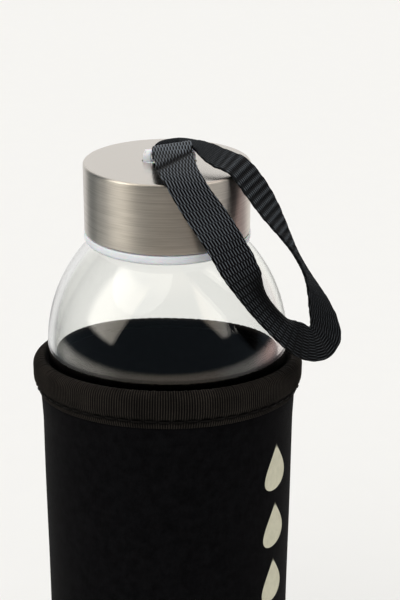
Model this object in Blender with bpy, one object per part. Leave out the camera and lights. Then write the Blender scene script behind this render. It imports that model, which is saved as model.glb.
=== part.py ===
"""Glass drinking bottle with a steel screw lid, a webbing carry strap and a neoprene sleeve.

Metres, +Z up. The origin is on the bottle's axis, on the ground face of the sleeve.
-Y is the side the photograph shows, +X is its right side.
"""

import math

import bmesh
import bpy
from mathutils import Vector

# ---------------------------------------------------------------- driving sizes
GAP = 0.0003  # clearance between pieces that touch on the real bottle

# glass bottle
GLASS_R = 0.03275  # outside radius of the body
GLASS_WALL = 0.0020
GLASS_FLOOR = 0.0045  # thickness of the foot
GLASS_H = 0.2153  # foot to mouth
SHOULDER_R = 0.040  # radius of the round shoulder
NECK_WALL = 0.0022
NECK_H = 0.0149
MOUTH_ROUND = 0.0007
HEEL_R = 0.0060
PUNT_RISE = 0.0025  # hollow under the foot
PUNT_R = 0.0240
PUNT_CURVE = 2.4  # the hollow is flatter in the middle than a parabola
FLOOR_CROWN = 0.0006  # the floor inside rises this much in the middle

# screw thread, right-handed
PITCH = 0.0040
GLASS_TURNS = 1.35
LID_TURNS = 1.15
GLASS_RIDGE = 0.0014  # how far the glass thread stands out
LID_RIDGE = 0.0015  # how far the liner thread stands in
RIDGE_ROOT = 0.0017  # width of a ridge at its root
RIDGE_CREST = 0.0008
THREAD_TOP = 0.0028  # mouth to the upper end of the glass thread
THREAD_BACK = 0.0016  # liner thread lies this far under the glass thread
RIDGE_FADE = 4  # facets over which a ridge fades into its wall

# lid
CAP_R = 0.0220
SHELL_T = 0.0006
SHELL_H = 0.0184
SHELL_EDGE = 0.0010  # rounded top edge
LINER_TOP_T = 0.0014
LINER_WALL = 0.0013  # liner outside its bore
LINER_RUN = 0.0006  # liner bore to the crest of the glass thread
LIP_H = 0.0025  # white ring below the steel
LIP_OUT = 0.0002  # how far the ring stands out past the steel
LIP_ROUND = 0.0012
LINER_EDGE = 0.0008  # edge of the liner's top
LEAD_IN = 0.0006  # widening at the foot of the liner's bore
BORE_FILLET = 0.0005  # at the upper end of the bore
SEAL_T = 0.0015
SEAL_BORE_R = 0.0135

# strap and its bridge
STRAP_W = 0.0100
STRAP_T = 0.0009
STRAP_EDGE = 0.0004  # thinner along both edges
EDGE_THIN = 0.45  # thickness there against the middle
ROUTE_UNIT = 0.001  # length of 1 in the strap's route
STRAP_RUN = 0.00025  # room round the strap where it passes under the bar
BAR_R = 0.0008
POST_T = 0.0011
POST_D = 0.0042  # front to back
POST_SLIM = 0.0004  # a post is this much slimmer than its plug, front and back
POST_BEVEL = 0.0006  # rounding of a post's outer face
POST_NARROW = 0.60  # that face's size against the inner one
BAR_COVER = 0.00015  # post above the bar
SIDE_ROOM = 0.0003  # strap edge to the nearer post
FREE_ROOM = 0.0013  # strap edge to the other post
BRIDGE_X = 0.0006  # the bridge sits this far right of the axis
PLATE_T = 0.0010  # snap plate under the steel
PLATE_OUT = 0.0018  # how far the plate reaches past the plug
LINER_POCKET_T = 0.0011  # liner floor under the snap plate

# sleeve
NEOPRENE_T = 0.0018
BASE_T = 0.0020
SLEEVE_EDGE = 0.0012  # rounding at the foot of the tube
HEM_DROP = 0.0038  # middle of the rim below the shoulder's foot
HEM_SLOPE = 0.125  # the rim was pulled up at the front: rise for each unit towards -Y
LEAN_FOOT = 0.0200  # below this height the sleeve stands level
HEM_H = 0.0103
HEM_T = 0.00185  # thickness of the folded tape where it is fullest
HEM_EDGE_T = 0.0005  # at its lower edge, drawn in by the stitches
HEM_FULL_UP = 0.0042  # fullest from here, above its lower edge
HEM_CROWN = 0.0023  # thickness over the tube's edge
HEM_CROWN_H = 0.0026  # height of its rounded top
HEM_CROWN_IN = 0.0024  # how far the rounding comes in
STITCH_R = 0.00025
STITCH_RISE = 0.0002
ZIGZAG = 0.0016  # height of the base seam's zigzag
HEM_STITCH_UP = 0.0022  # above the hem's lower edge
HEM_STITCHES = 64
SEAM_STITCH_UP = 0.0050  # base seam above the ground
SEAM_STITCHES = 56
SIDE_PITCH = 0.0021
SIDE_SEAM_W = 0.0032
SIDE_END = 0.0040  # side seam stops this far from hem and base seam

# shared by several pieces
CHAMFER = 0.0003  # broken edges of thin pieces
OVERLAP = 0.0004  # how far joined shapes are sunk into each other
CUT_PAST = 0.0010  # how far cutters reach past what they cut
SEG = 48  # facets round the axis
THREAD_SEG = 36  # facets in a turn of the screw thread
PUNT_STEPS = 5
CROWN_STEPS = 6
STRAP_STEPS = 3  # cross-sections from each place on the route to the next

# ---------------------------------------------------------------- derived sizes
LINER_R = CAP_R - SHELL_T - GAP
LINER_BORE = LINER_R - LINER_WALL
NECK_R = LINER_BORE - LINER_RUN - GLASS_RIDGE  # the neck fits the lid
GLASS_Z0 = BASE_T + GAP
MOUTH_Z = GLASS_Z0 + GLASS_H
NECK_Z = MOUTH_Z - NECK_H
THREAD_Z = MOUTH_Z - THREAD_TOP - PITCH * GLASS_TURNS  # lower end of the glass thread
SHOULDER_X = GLASS_R - SHOULDER_R  # centre of the shoulder arc
SHOULDER_Z = NECK_Z - math.sqrt(SHOULDER_R**2 - (NECK_R - SHOULDER_X) ** 2)
SEAL_Z0 = MOUTH_Z + GAP
LINER_Z1 = SEAL_Z0 + SEAL_T + GAP + LINER_TOP_T
SHELL_Z1 = LINER_Z1 + GAP + SHELL_T  # the lid's top face
SHELL_Z0 = SHELL_Z1 - SHELL_H
LIP_Z1 = SHELL_Z0 - GAP
LIP_Z0 = LIP_Z1 - LIP_H
BAR_Z = SHELL_Z1 + STRAP_RUN + STRAP_T + STRAP_RUN + BAR_R
BAR_ROOM = BAR_R + STRAP_RUN + STRAP_T / 2  # bar axis to mid strap
SLEEVE_IN = GLASS_R + GAP
SLEEVE_OUT = SLEEVE_IN + NEOPRENE_T
HEM_Z1 = SHOULDER_Z - HEM_DROP
HEM_Z0 = HEM_Z1 - HEM_H
HEM_OUT = SLEEVE_OUT + GAP + HEM_T
GAP_W = STRAP_W + SIDE_ROOM + FREE_ROOM  # between the posts
BRIDGE_W = GAP_W + 2 * POST_T
STRAP_X = BRIDGE_X + (FREE_ROOM - SIDE_ROOM) / 2  # the strap lies against the right post


# ---------------------------------------------------------------- helpers
def clear_scene():
    for ob in list(bpy.data.objects):
        bpy.data.objects.remove(ob, do_unlink=True)


def material(name, rgb, rough, metal=0.0, glass=0.0, ior=1.5):
    mat = bpy.data.materials.new(name)
    mat.use_nodes = True
    shader = mat.node_tree.nodes["Principled BSDF"]
    shader.inputs["Base Color"].default_value = (*rgb, 1.0)
    shader.inputs["Roughness"].default_value = rough
    shader.inputs["Metallic"].default_value = metal
    shader.inputs["Transmission Weight"].default_value = glass
    shader.inputs["IOR"].default_value = ior
    return mat


def finish(bm, name, mat, smooth=True, origin=(0, 0, 0)):
    bmesh.ops.remove_doubles(bm, verts=bm.verts, dist=1e-7)
    bmesh.ops.recalc_face_normals(bm, faces=bm.faces)
    if bm.calc_volume(signed=True) < 0:
        bmesh.ops.reverse_faces(bm, faces=bm.faces)
    for f in bm.faces:
        f.smooth = smooth
    bmesh.ops.translate(bm, verts=bm.verts, vec=-Vector(origin))
    mesh = bpy.data.meshes.new(name)
    bm.to_mesh(mesh)
    bm.free()
    if mat:
        mesh.materials.append(mat)
    ob = bpy.data.objects.new(name, mesh)
    ob.location = origin
    bpy.context.scene.collection.objects.link(ob)
    return ob


def arc(cx, cz, r, a0, a1, n):
    """Points (radius, height) on an arc, angles in degrees from +radius towards +Z."""
    for i in range(n + 1):
        a = math.radians(a0 + (a1 - a0) * i / n)
        yield (cx + r * math.cos(a), cz + r * math.sin(a))


def revolve(profile, seg=SEG):
    """Closed ring or solid from a closed outline of (radius, height); radius 0 makes a pole."""
    bm = bmesh.new()
    rows = []
    for r, z in profile:
        if r < 1e-9:
            rows.append([bm.verts.new((0, 0, z))])
        else:
            rows.append(
                [
                    bm.verts.new(
                        (
                            r * math.cos(2 * math.pi * k / seg),
                            r * math.sin(2 * math.pi * k / seg),
                            z,
                        )
                    )
                    for k in range(seg)
                ]
            )
    for a, b in zip(rows, rows[1:] + rows[:1]):
        if len(a) == 1 and len(b) == 1:
            continue
        for k in range(seg):
            m = (k + 1) % seg
            if len(a) == 1:
                bm.faces.new((a[0], b[m], b[k]))
            elif len(b) == 1:
                bm.faces.new((a[k], a[m], b[0]))
            else:
                bm.faces.new((a[k], a[m], b[m], b[k]))
    return bm


def helix_ridge(root_r, depth, z_low, turns, outward, per_turn=THREAD_SEG):
    """Trapezoid ridge along a right-handed helix; it fades into its wall at both ends."""
    bm = bmesh.new()
    n = round(per_turn * turns)
    sign = 1 if outward else -1
    rings = []
    for i in range(n + 1):
        t = i / n
        a = 2 * math.pi * turns * t
        z = z_low + PITCH * turns * t
        fade = max(0.0, min(1.0, min(t, 1 - t) * n / RIDGE_FADE))
        out = depth * fade - OVERLAP / 2 * (1 - fade)
        outline = (
            (root_r - sign * OVERLAP, -RIDGE_ROOT / 2),
            (root_r + sign * out, -RIDGE_CREST / 2),
            (root_r + sign * out, RIDGE_CREST / 2),
            (root_r - sign * OVERLAP, RIDGE_ROOT / 2),
        )
        rings.append(
            [bm.verts.new((r * math.cos(a), r * math.sin(a), z + h)) for r, h in outline]
        )
    for a, b in zip(rings, rings[1:]):
        for k in range(4):
            m = (k + 1) % 4
            bm.faces.new((a[k], b[k], b[m], a[m]))
    bm.faces.new(rings[0])
    bm.faces.new(rings[-1][::-1])
    return bm


def boolean(target, cutter, operation):
    """Applies an exact Boolean to the target and removes the cutter."""
    mod = target.modifiers.new(operation.lower(), "BOOLEAN")
    mod.operation = operation
    mod.solver = "EXACT"
    mod.object = cutter
    dg = bpy.context.evaluated_depsgraph_get()
    mesh = bpy.data.meshes.new_from_object(target.evaluated_get(dg))
    target.modifiers.clear()
    old = target.data
    target.data = mesh
    mesh.name = target.name
    bpy.data.meshes.remove(old)
    bpy.data.objects.remove(cutter, do_unlink=True)


def stadium(length, width, z0, z1, cx=0.0, n=10):
    """Upright prism with a stadium outline, long along X."""
    bm = bmesh.new()
    r = width / 2
    half = length / 2 - r
    outline = []
    for side in (1, -1):
        for i in range(n + 1):
            a = math.radians(-90 + 180 * i / n) if side > 0 else math.radians(90 + 180 * i / n)
            outline.append((cx + side * half + r * math.cos(a), r * math.sin(a)))
    low = [bm.verts.new((x, y, z0)) for x, y in outline]
    high = [bm.verts.new((x, y, z1)) for x, y in outline]
    bm.faces.new(low[::-1])
    bm.faces.new(high)
    for i in range(len(low)):
        j = (i + 1) % len(low)
        bm.faces.new((low[i], low[j], high[j], high[i]))
    return bm


def post(x0, x1, z0, z1, depth, n=9):
    """Upright ear across X with an arched top; the face at x1 is drawn in to round it."""
    bm = bmesh.new()

    def outline(scale_y, top):
        r = depth / 2 * scale_y
        spring = top - min(r, top - z0 - CHAMFER)
        pts = [(-r, z0), (r, z0)]
        pts += [
            (r * math.cos(math.pi * i / n), spring + (top - spring) * math.sin(math.pi * i / n))
            for i in range(n + 1)
        ]
        return pts

    rows = []
    mid = x1 - math.copysign(POST_BEVEL, x1 - x0)
    low = z1 - POST_NARROW * POST_BEVEL
    for x, s, top in ((x0, 1.0, z1), (mid, 1.0, z1), (x1, POST_NARROW, low)):
        rows.append([bm.verts.new((x, y, z)) for y, z in outline(s, top)])
    for a, b in zip(rows, rows[1:]):
        for k in range(len(a)):
            m = (k + 1) % len(a)
            bm.faces.new((a[k], a[m], b[m], b[k]))
    bm.faces.new(rows[0])
    bm.faces.new(rows[-1][::-1])
    return bm


def bar_x(x0, x1, z, r, n=14):
    bm = bmesh.new()
    rings = [
        [
            bm.verts.new(
                (x, r * math.cos(2 * math.pi * k / n), z + r * math.sin(2 * math.pi * k / n))
            )
            for k in range(n)
        ]
        for x in (x0, x1)
    ]
    for k in range(n):
        m = (k + 1) % n
        bm.faces.new((rings[0][k], rings[0][m], rings[1][m], rings[1][k]))
    bm.faces.new(rings[0][::-1])
    bm.faces.new(rings[1])
    return bm


def thread(points, r, closed):
    """Sewing thread: a four-sided tube along points, in the frame of the bottle's axis."""
    bm = bmesh.new()
    pts = [Vector(p) for p in points]
    n = len(pts)
    rings = []
    for i, p in enumerate(pts):
        before = pts[i - 1] if closed or i else p
        after = pts[(i + 1) % n] if closed or i < n - 1 else p
        along = (after - before).normalized()
        out = Vector((p.x, p.y, 0)).normalized()
        out = (out - along * out.dot(along)).normalized()
        side = along.cross(out)
        rings.append(
            [bm.verts.new(p + out * r * a + side * r * b) for a, b in ((1, 0), (0, 1), (-1, 0), (0, -1))]
        )
    for i in range(n if closed else n - 1):
        a, b = rings[i], rings[(i + 1) % n]
        for k in range(4):
            m = (k + 1) % 4
            bm.faces.new((a[k], a[m], b[m], b[k]))
    if not closed:
        bm.faces.new(rings[0][::-1])
        bm.faces.new(rings[-1])
    return bm


# ---------------------------------------------------------------- glass bottle
def build_glass(mat):
    def shoulder(inset, n):
        """Shoulder arc from the body up to the neck, moved inwards by inset."""
        r = SHOULDER_R - inset
        neck = NECK_R - (NECK_WALL if inset else 0.0)
        top = math.degrees(math.acos((neck - SHOULDER_X) / r))
        return list(arc(SHOULDER_X, SHOULDER_Z, r, 0, top, n))

    foot = GLASS_Z0
    outer = []
    for i in range(PUNT_STEPS + 1):
        s = math.sin(math.pi / 2 * i / PUNT_STEPS)
        outer.append((PUNT_R * s, foot + PUNT_RISE * (1 - s**PUNT_CURVE)))
    outer += list(arc(GLASS_R - HEEL_R, foot + HEEL_R, HEEL_R, -90, 0, 5))
    outer += shoulder(0.0, 10)
    rim = MOUTH_Z - MOUTH_ROUND
    neck_in = NECK_R - NECK_WALL
    outer += list(arc(NECK_R - MOUTH_ROUND, rim, MOUTH_ROUND, 0, 90, 3))
    outer += list(arc(neck_in + MOUTH_ROUND, rim, MOUTH_ROUND, 90, 180, 3))
    inner = shoulder(GLASS_WALL, 8)[::-1]
    heel_in = HEEL_R - GLASS_WALL
    floor = foot + GLASS_FLOOR
    inner += list(arc(GLASS_R - HEEL_R, floor + heel_in, heel_in, 0, -90, 4))
    inner += [(PUNT_R * s, floor + FLOOR_CROWN * (1 - s * s)) for s in (0.5, 0.0)]
    glass = finish(revolve(outer + inner), "glass_bottle", mat)
    ridge = helix_ridge(NECK_R, GLASS_RIDGE, THREAD_Z, GLASS_TURNS, True)
    boolean(glass, finish(ridge, "glass_ridge", mat), "UNION")
    for p in glass.data.polygons:
        p.use_smooth = True
    return glass


# ---------------------------------------------------------------- lid
def build_shell(mat):
    top, low = SHELL_Z1, SHELL_Z0
    e = SHELL_EDGE
    e_in = e - SHELL_T
    under = top - SHELL_T
    outline = [(0.0, top), (CAP_R / 2, top)]
    outline += list(arc(CAP_R - e, top - e, e, 90, 0, 4))
    outline += [(CAP_R, low + CHAMFER), (CAP_R - CHAMFER, low), (CAP_R - SHELL_T, low)]
    outline += list(arc(CAP_R - e, under - e_in, e_in, 0, 90, 3))
    outline += [(CAP_R / 2, under), (0.0, under)]
    shell = finish(revolve(outline), "cap_shell", mat)
    length, width = BRIDGE_W + 2 * GAP, POST_D + 2 * GAP
    hole = stadium(length, width, under - CUT_PAST, top + CUT_PAST, BRIDGE_X)
    boolean(shell, finish(hole, "hole_cutter", None), "DIFFERENCE")
    shade(shell, 35)
    return shell


def shade(ob, degrees):
    """Smooth faces, with sharp edges kept sharp."""
    bm = bmesh.new()
    bm.from_mesh(ob.data)
    for f in bm.faces:
        f.smooth = True
    limit = math.radians(degrees)
    for edge in bm.edges:
        if len(edge.link_faces) == 2 and edge.calc_face_angle(0.0) > limit:
            edge.smooth = False
    bm.to_mesh(ob.data)
    bm.free()


def build_liner(mat):
    """White liner with its thread, the ring below the steel and a pocket for the snap plate."""
    lip_r = CAP_R + LIP_OUT
    top, low = LINER_Z1, LIP_Z0
    under = top - LINER_TOP_T
    outline = [(0.0, top), (LINER_R / 2, top), (LINER_R - LINER_EDGE, top)]
    outline += [(LINER_R, top - LINER_EDGE), (LINER_R, LIP_Z1)]
    outline += [(lip_r - CHAMFER, LIP_Z1), (lip_r, LIP_Z1 - CHAMFER)]
    outline += list(arc(lip_r - LIP_ROUND, low + LIP_ROUND, LIP_ROUND, 0, -90, 4))
    outline += [(LINER_BORE + LEAD_IN, low), (LINER_BORE, low + 2 * LEAD_IN)]
    outline += [(LINER_BORE, under + BORE_FILLET), (LINER_BORE - BORE_FILLET, under)]
    outline += [(0.0, under)]
    liner = finish(revolve(outline), "cap_liner", mat)
    length = BRIDGE_W + 2 * PLATE_OUT + 2 * GAP
    width = POST_D + 2 * PLATE_OUT + 2 * GAP
    floor = top - PLATE_T - GAP
    wall = LINER_POCKET_T
    bump = stadium(length + 2 * wall, width + 2 * wall, floor - wall, under + OVERLAP, BRIDGE_X)
    boolean(liner, finish(bump, "bump", mat), "UNION")
    pocket = stadium(length, width, floor, top + CUT_PAST, BRIDGE_X)
    boolean(liner, finish(pocket, "pocket_cutter", None), "DIFFERENCE")
    ridge = helix_ridge(LINER_BORE, LID_RIDGE, THREAD_Z - THREAD_BACK, LID_TURNS, False)
    boolean(liner, finish(ridge, "lid_ridge", mat), "UNION")
    shade(liner, 35)
    return liner


def build_seal(mat):
    r = LINER_BORE - BORE_FILLET - GAP
    z0, z1 = SEAL_Z0, SEAL_Z0 + SEAL_T
    c = CHAMFER
    outline = [(SEAL_BORE_R, z0 + c), (SEAL_BORE_R + c, z0), (r - c, z0), (r, z0 + c)]
    outline += [(r, z1 - c), (r - c, z1), (SEAL_BORE_R + c, z1), (SEAL_BORE_R, z1 - c)]
    seal = finish(revolve(outline), "cap_seal", mat)
    shade(seal, 60)
    return seal


def build_bridge(mat):
    """Snap plate, plug and two posts with the round bar that carries the strap."""
    plate_top = SHELL_Z1 - SHELL_T - GAP
    length, width = BRIDGE_W + 2 * PLATE_OUT, POST_D + 2 * PLATE_OUT
    plate = stadium(length, width, plate_top - PLATE_T, plate_top, BRIDGE_X)
    plate = finish(plate, "strap_bridge", mat)
    plug = stadium(BRIDGE_W, POST_D, plate_top - OVERLAP, SHELL_Z1, BRIDGE_X)
    boolean(plate, finish(plug, "plug", mat), "UNION")
    foot, top, depth = SHELL_Z1 - OVERLAP / 2, BAR_Z + BAR_R + BAR_COVER, POST_D - 2 * POST_SLIM
    for side in (-1, 1):
        inner = BRIDGE_X + side * GAP_W / 2
        outer = BRIDGE_X + side * BRIDGE_W / 2
        boolean(plate, finish(post(inner, outer, foot, top, depth), "ear", mat), "UNION")
    reach = (GAP_W + POST_T) / 2
    bar = bar_x(BRIDGE_X - reach, BRIDGE_X + reach, BAR_Z, BAR_R)
    boolean(plate, finish(bar, "bar", mat), "UNION")
    shade(plate, 40)
    return plate


# ---------------------------------------------------------------- carry strap
# The loop hangs to the front right. Each place on it gives its middle, the way its
# width runs, from the outer to the inner edge, and how far it is gathered.
# Over the lid: x, y and z from the bar's middle (x, y) and the lid's top (z).
OVER_FRONT = (
    (0.0, -0.15, 3.9, (1.0, 0.0, 0.06), 1.0),
    (0.3, -1.7, 5.1, (1.0, 0.05, 0.16), 1.0),
    (0.8, -7.5, 4.0, (0.98, 0.15, 0.13), 1.0),
)
OVER_RIGHT = (
    (12.7, -7.2, 2.8, (-0.38, -0.88, -0.22), 0.90),
    (8.8, -3.2, 3.7, (-0.20, -0.93, -0.28), 0.76),
    (5.8, -0.2, 4.35, (0.08, -0.98, -0.16), 0.60),
    (3.1, 1.2, 4.5, (0.70, -0.65, -0.15), 0.64),
    (0.9, 1.8, 4.1, (0.95, -0.10, -0.10), 0.84),
    (0.1, 1.6, 3.2, (1.0, 0.0, 0.0), 0.96),
)
# Past the rim: azimuth in degrees, share of the way from the lid's radius to the
# glass's, how far outwards from there and how far up from the lid's top.
HANGING = (
    (-80.0, 0.0, -4.2, 2.7, (0.98, 0.08, 0.10)),
    (-78.0, 0.0, 0.9, 1.3, (0.99, 0.06, 0.08)),
    (-74.0, 0.0, 2.6, -1.8, (0.97, 0.12, 0.15)),
    (-67.0, 0.2, 1.7, -6.9, (0.90, 0.26, 0.32)),
    (-59.0, 0.5, 0.6, -13.5, (0.83, 0.42, 0.36)),
    (-51.5, 0.8, 0.4, -22.0, (0.70, 0.58, 0.40)),
    (-44.5, 1.0, 0.9, -29.5, (0.52, 0.74, 0.42)),
    (-38.0, 1.0, 3.9, -35.7, (0.36, 0.78, 0.52)),
    (-32.0, 1.0, 6.6, -40.5, (0.14, 0.62, 0.78)),
    (-27.5, 1.0, 9.2, -43.2, (-0.18, 0.28, 0.94)),
    (-24.0, 1.0, 11.2, -43.5, (-0.56, 0.05, 0.82)),
    (-21.5, 1.0, 12.0, -40.8, (-0.83, -0.10, 0.54)),
    (-21.0, 1.0, 11.0, -36.2, (-0.78, -0.44, 0.44)),
    (-20.5, 1.0, 9.1, -31.6, (-0.57, -0.72, 0.40)),
    (-20.5, 0.8, 8.3, -26.1, (-0.26, -0.91, 0.31)),
    (-20.5, 0.6, 7.3, -21.0, (-0.20, -0.94, 0.26)),
    (-20.5, 0.4, 5.9, -15.5, (-0.30, -0.94, 0.08)),
    (-22.0, 0.2, 4.1, -9.2, (-0.44, -0.88, -0.10)),
    (-25.5, 0.0, 2.9, -3.5, (-0.50, -0.85, -0.15)),
    (-30.5, 0.0, -0.8, 1.7, (-0.46, -0.87, -0.13)),
)


def strap_places():
    """(middle, width direction, gather) all round the loop, from the rear of the bar."""
    places = []
    for i in range(5):  # round the underside of the bar
        a = -math.pi * i / 4
        middle = (STRAP_X, BAR_ROOM * math.cos(a), BAR_Z + BAR_ROOM * math.sin(a))
        places.append((middle, (1, 0, 0), 1.0))
    unit = ROUTE_UNIT
    for x, y, z, way, gather in OVER_FRONT:
        middle = (STRAP_X + x * unit, -BAR_ROOM + y * unit, SHELL_Z1 + z * unit)
        places.append((middle, way, gather))
    for az, share, out, up, way in HANGING:
        r = CAP_R + share * (GLASS_R - CAP_R) + out * unit
        a = math.radians(az)
        places.append(((r * math.cos(a), r * math.sin(a), SHELL_Z1 + up * unit), way, 1.0))
    for x, y, z, way, gather in OVER_RIGHT:
        places.append(((STRAP_X + x * unit, y * unit, SHELL_Z1 + z * unit), way, gather))
    return places


def smooth_loop(rows, n):
    """Closed Catmull-Rom curve through rows of numbers, n steps from each to the next."""
    out = []
    m = len(rows)
    for i in range(m):
        p = [rows[(i + k) % m] for k in (-1, 0, 1, 2)]
        for s in range(n):
            t = s / n
            out.append(
                [
                    0.5
                    * (
                        2 * b
                        + (c - a) * t
                        + (2 * a - 5 * b + 4 * c - d) * t * t
                        + (3 * b - a - 3 * c + d) * t**3
                    )
                    for a, b, c, d in zip(*p)
                ]
            )
    return out


def build_strap(mat):
    rows = [[*middle, *way, gather] for middle, way, gather in strap_places()]
    line = smooth_loop(rows, STRAP_STEPS)
    n = len(line)
    bm = bmesh.new()
    rings = []
    for i, q in enumerate(line):
        c = Vector(q[:3])
        along = (Vector(line[(i + 1) % n][:3]) - Vector(line[i - 1][:3])).normalized()
        wide = Vector(q[3:6]).normalized()
        face = along.cross(wide).normalized()
        half, thick = STRAP_W * q[6] / 2, STRAP_T / 2
        thin = thick * EDGE_THIN
        flat = half - STRAP_EDGE
        corners = (
            (-half, -thin),
            (-flat, -thick),
            (flat, -thick),
            (half, -thin),
            (half, thin),
            (flat, thick),
            (-flat, thick),
            (-half, thin),
        )
        rings.append([bm.verts.new(c + wide * a + face * b) for a, b in corners])
    for i in range(n):
        a, b = rings[i], rings[(i + 1) % n]
        for k in range(len(a)):
            m = (k + 1) % len(a)
            bm.faces.new((a[k], a[m], b[m], b[k]))
    strap = finish(bm, "carry_strap", mat, origin=(0, 0, BAR_Z))
    shade(strap, 50)
    return strap


# ---------------------------------------------------------------- neoprene sleeve
def lean(bm):
    """Raises the front and lowers the back, in full from the hem up and not at all at the foot."""
    for v in bm.verts:
        share = (v.co.z - LEAN_FOOT) / (HEM_Z0 - LEAN_FOOT)
        v.co.z -= HEM_SLOPE * v.co.y * min(1.0, max(0.0, share))
    return bm


def build_sleeve(mat):
    top = HEM_Z1 - HEM_CROWN - GAP
    e = SLEEVE_EDGE
    outline = [(SLEEVE_IN, 0.0)]
    outline += list(arc(SLEEVE_OUT - e, e, e, -90, 0, 4))
    outline += [(SLEEVE_OUT, LEAN_FOOT), (SLEEVE_OUT, top), (SLEEVE_IN, top)]
    outline += [(SLEEVE_IN, LEAN_FOOT)]
    ob = finish(lean(revolve(outline)), "sleeve_body", mat)
    shade(ob, 60)
    return ob


def build_hem(mat):
    """Ribbed binding folded over the tube's upper edge."""
    z0, z1 = HEM_Z0, HEM_Z1
    fold_in = SLEEVE_OUT + GAP
    crown_r, crown_z = HEM_OUT - HEM_CROWN_IN, z1 - HEM_CROWN_H
    lean_in = crown_r - SLEEVE_IN
    outline = [(SLEEVE_IN, z1 - HEM_CROWN)]
    outline += list(arc(crown_r, z1 - lean_in, lean_in, 180, 90, 3))
    for i in range(1, CROWN_STEPS + 1):
        a = math.radians(90 - 90 * i / CROWN_STEPS)
        outline.append((crown_r + HEM_CROWN_IN * math.cos(a), crown_z + HEM_CROWN_H * math.sin(a)))
    outline += [(HEM_OUT, z0 + HEM_FULL_UP), (fold_in + HEM_EDGE_T, z0)]
    outline += [(fold_in, z0), (fold_in, z1 - HEM_CROWN)]
    ob = finish(lean(revolve(outline)), "sleeve_binding", mat)
    shade(ob, 50)
    return ob


def build_hem_stitches(mat):
    """One row of stitches near the hem's lower edge; the thread dips between stitches."""
    swell = (HEM_T - HEM_EDGE_T) * HEM_STITCH_UP / HEM_FULL_UP
    r = SLEEVE_OUT + GAP + HEM_EDGE_T + swell + GAP + STITCH_R
    points = []
    for k in range(2 * HEM_STITCHES):
        a = math.pi * (k + 0.5) / HEM_STITCHES
        out = r + (STITCH_RISE if k % 2 else 0.0)
        x, y = out * math.cos(a), out * math.sin(a)
        points.append((x, y, HEM_Z0 + HEM_STITCH_UP - HEM_SLOPE * y))
    return finish(thread(points, STITCH_R, True), "hem_stitching", mat)


def build_seam_stitches(mat):
    """Zigzag that closes the tube on to its round base panel."""
    r = SLEEVE_OUT + GAP + STITCH_R
    points = []
    for k in range(2 * SEAM_STITCHES):
        a = math.pi * (k + 0.5) / SEAM_STITCHES
        up = SEAM_STITCH_UP + (ZIGZAG if k % 2 else 0.0)
        points.append((r * math.cos(a), r * math.sin(a), up))
    return finish(thread(points, STITCH_R, True), "base_seam_stitching", mat)


def build_side_stitches(mat):
    """Flat zigzag seam up the back of the tube."""
    r = SLEEVE_OUT + GAP + STITCH_R
    low = SEAM_STITCH_UP + ZIGZAG + SIDE_END
    high = HEM_Z0 - HEM_SLOPE * HEM_OUT - SIDE_END
    count = int((high - low) / SIDE_PITCH)
    points = []
    for k in range(count + 1):
        a = math.pi / 2 + (1 if k % 2 else -1) * SIDE_SEAM_W / 2 / r
        points.append((r * math.cos(a), r * math.sin(a), low + SIDE_PITCH * k))
    return finish(thread(points, STITCH_R, False), "side_seam_stitching", mat)


def build_base(mat):
    r = SLEEVE_IN - GAP
    c = CHAMFER
    outline = [(0.0, 0.0), (r - c, 0.0), (r, c), (r, BASE_T - c), (r - c, BASE_T)]
    outline += [(0.0, BASE_T)]
    ob = finish(revolve(outline), "sleeve_base", mat)
    shade(ob, 60)
    return ob


# ---------------------------------------------------------------- build
clear_scene()
build_base(material("sleeve_base", (0.012, 0.012, 0.013), 0.95))
build_sleeve(material("sleeve_body", (0.010, 0.010, 0.011), 0.92))
build_hem(material("sleeve_binding", (0.022, 0.018, 0.016), 0.85))
build_hem_stitches(material("hem_stitching", (0.03, 0.025, 0.022), 0.7))
build_seam_stitches(material("base_seam_stitching", (0.03, 0.03, 0.03), 0.7))
build_side_stitches(material("side_seam_stitching", (0.03, 0.03, 0.03), 0.7))
build_glass(material("glass_bottle", (0.95, 0.98, 0.96), 0.02, glass=1.0, ior=1.5))
build_seal(material("cap_seal", (0.80, 0.82, 0.82), 0.5))
build_liner(material("cap_liner", (0.86, 0.89, 0.92), 0.35))
build_shell(material("cap_shell", (0.62, 0.60, 0.58), 0.3, metal=1.0))
build_bridge(material("strap_bridge", (0.86, 0.89, 0.92), 0.35))
build_strap(material("carry_strap", (0.015, 0.016, 0.018), 0.75))
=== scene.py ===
"""Looks of a glass drinking bottle with a steel screw lid, a webbing loop and a neoprene sleeve.

Metres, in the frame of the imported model: +Z up along the bottle, -Y towards the camera.
"""

import math

import bpy
import numpy as np
from mathutils import Matrix, Vector


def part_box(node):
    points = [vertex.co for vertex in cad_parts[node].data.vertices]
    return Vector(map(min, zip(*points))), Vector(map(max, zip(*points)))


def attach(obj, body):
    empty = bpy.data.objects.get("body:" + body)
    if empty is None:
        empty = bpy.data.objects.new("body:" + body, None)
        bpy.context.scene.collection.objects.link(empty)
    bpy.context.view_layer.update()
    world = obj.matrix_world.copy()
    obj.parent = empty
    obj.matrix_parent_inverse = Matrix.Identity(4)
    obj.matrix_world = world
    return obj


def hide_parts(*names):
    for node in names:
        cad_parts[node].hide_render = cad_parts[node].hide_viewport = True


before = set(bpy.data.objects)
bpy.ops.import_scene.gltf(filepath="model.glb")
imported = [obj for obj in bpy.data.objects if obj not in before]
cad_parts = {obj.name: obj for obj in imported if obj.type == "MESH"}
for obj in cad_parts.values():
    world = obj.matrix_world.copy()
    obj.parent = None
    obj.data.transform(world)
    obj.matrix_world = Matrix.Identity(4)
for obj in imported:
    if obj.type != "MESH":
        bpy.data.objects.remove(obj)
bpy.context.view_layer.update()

# ------------------------ sizes from the frame
foot_lo, mouth_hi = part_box("glass_bottle")
GLASS_R, FOOT_Z, MOUTH_Z = mouth_hi.x, foot_lo.z, mouth_hi.z
shell_lo, shell_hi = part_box("cap_shell")
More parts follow.
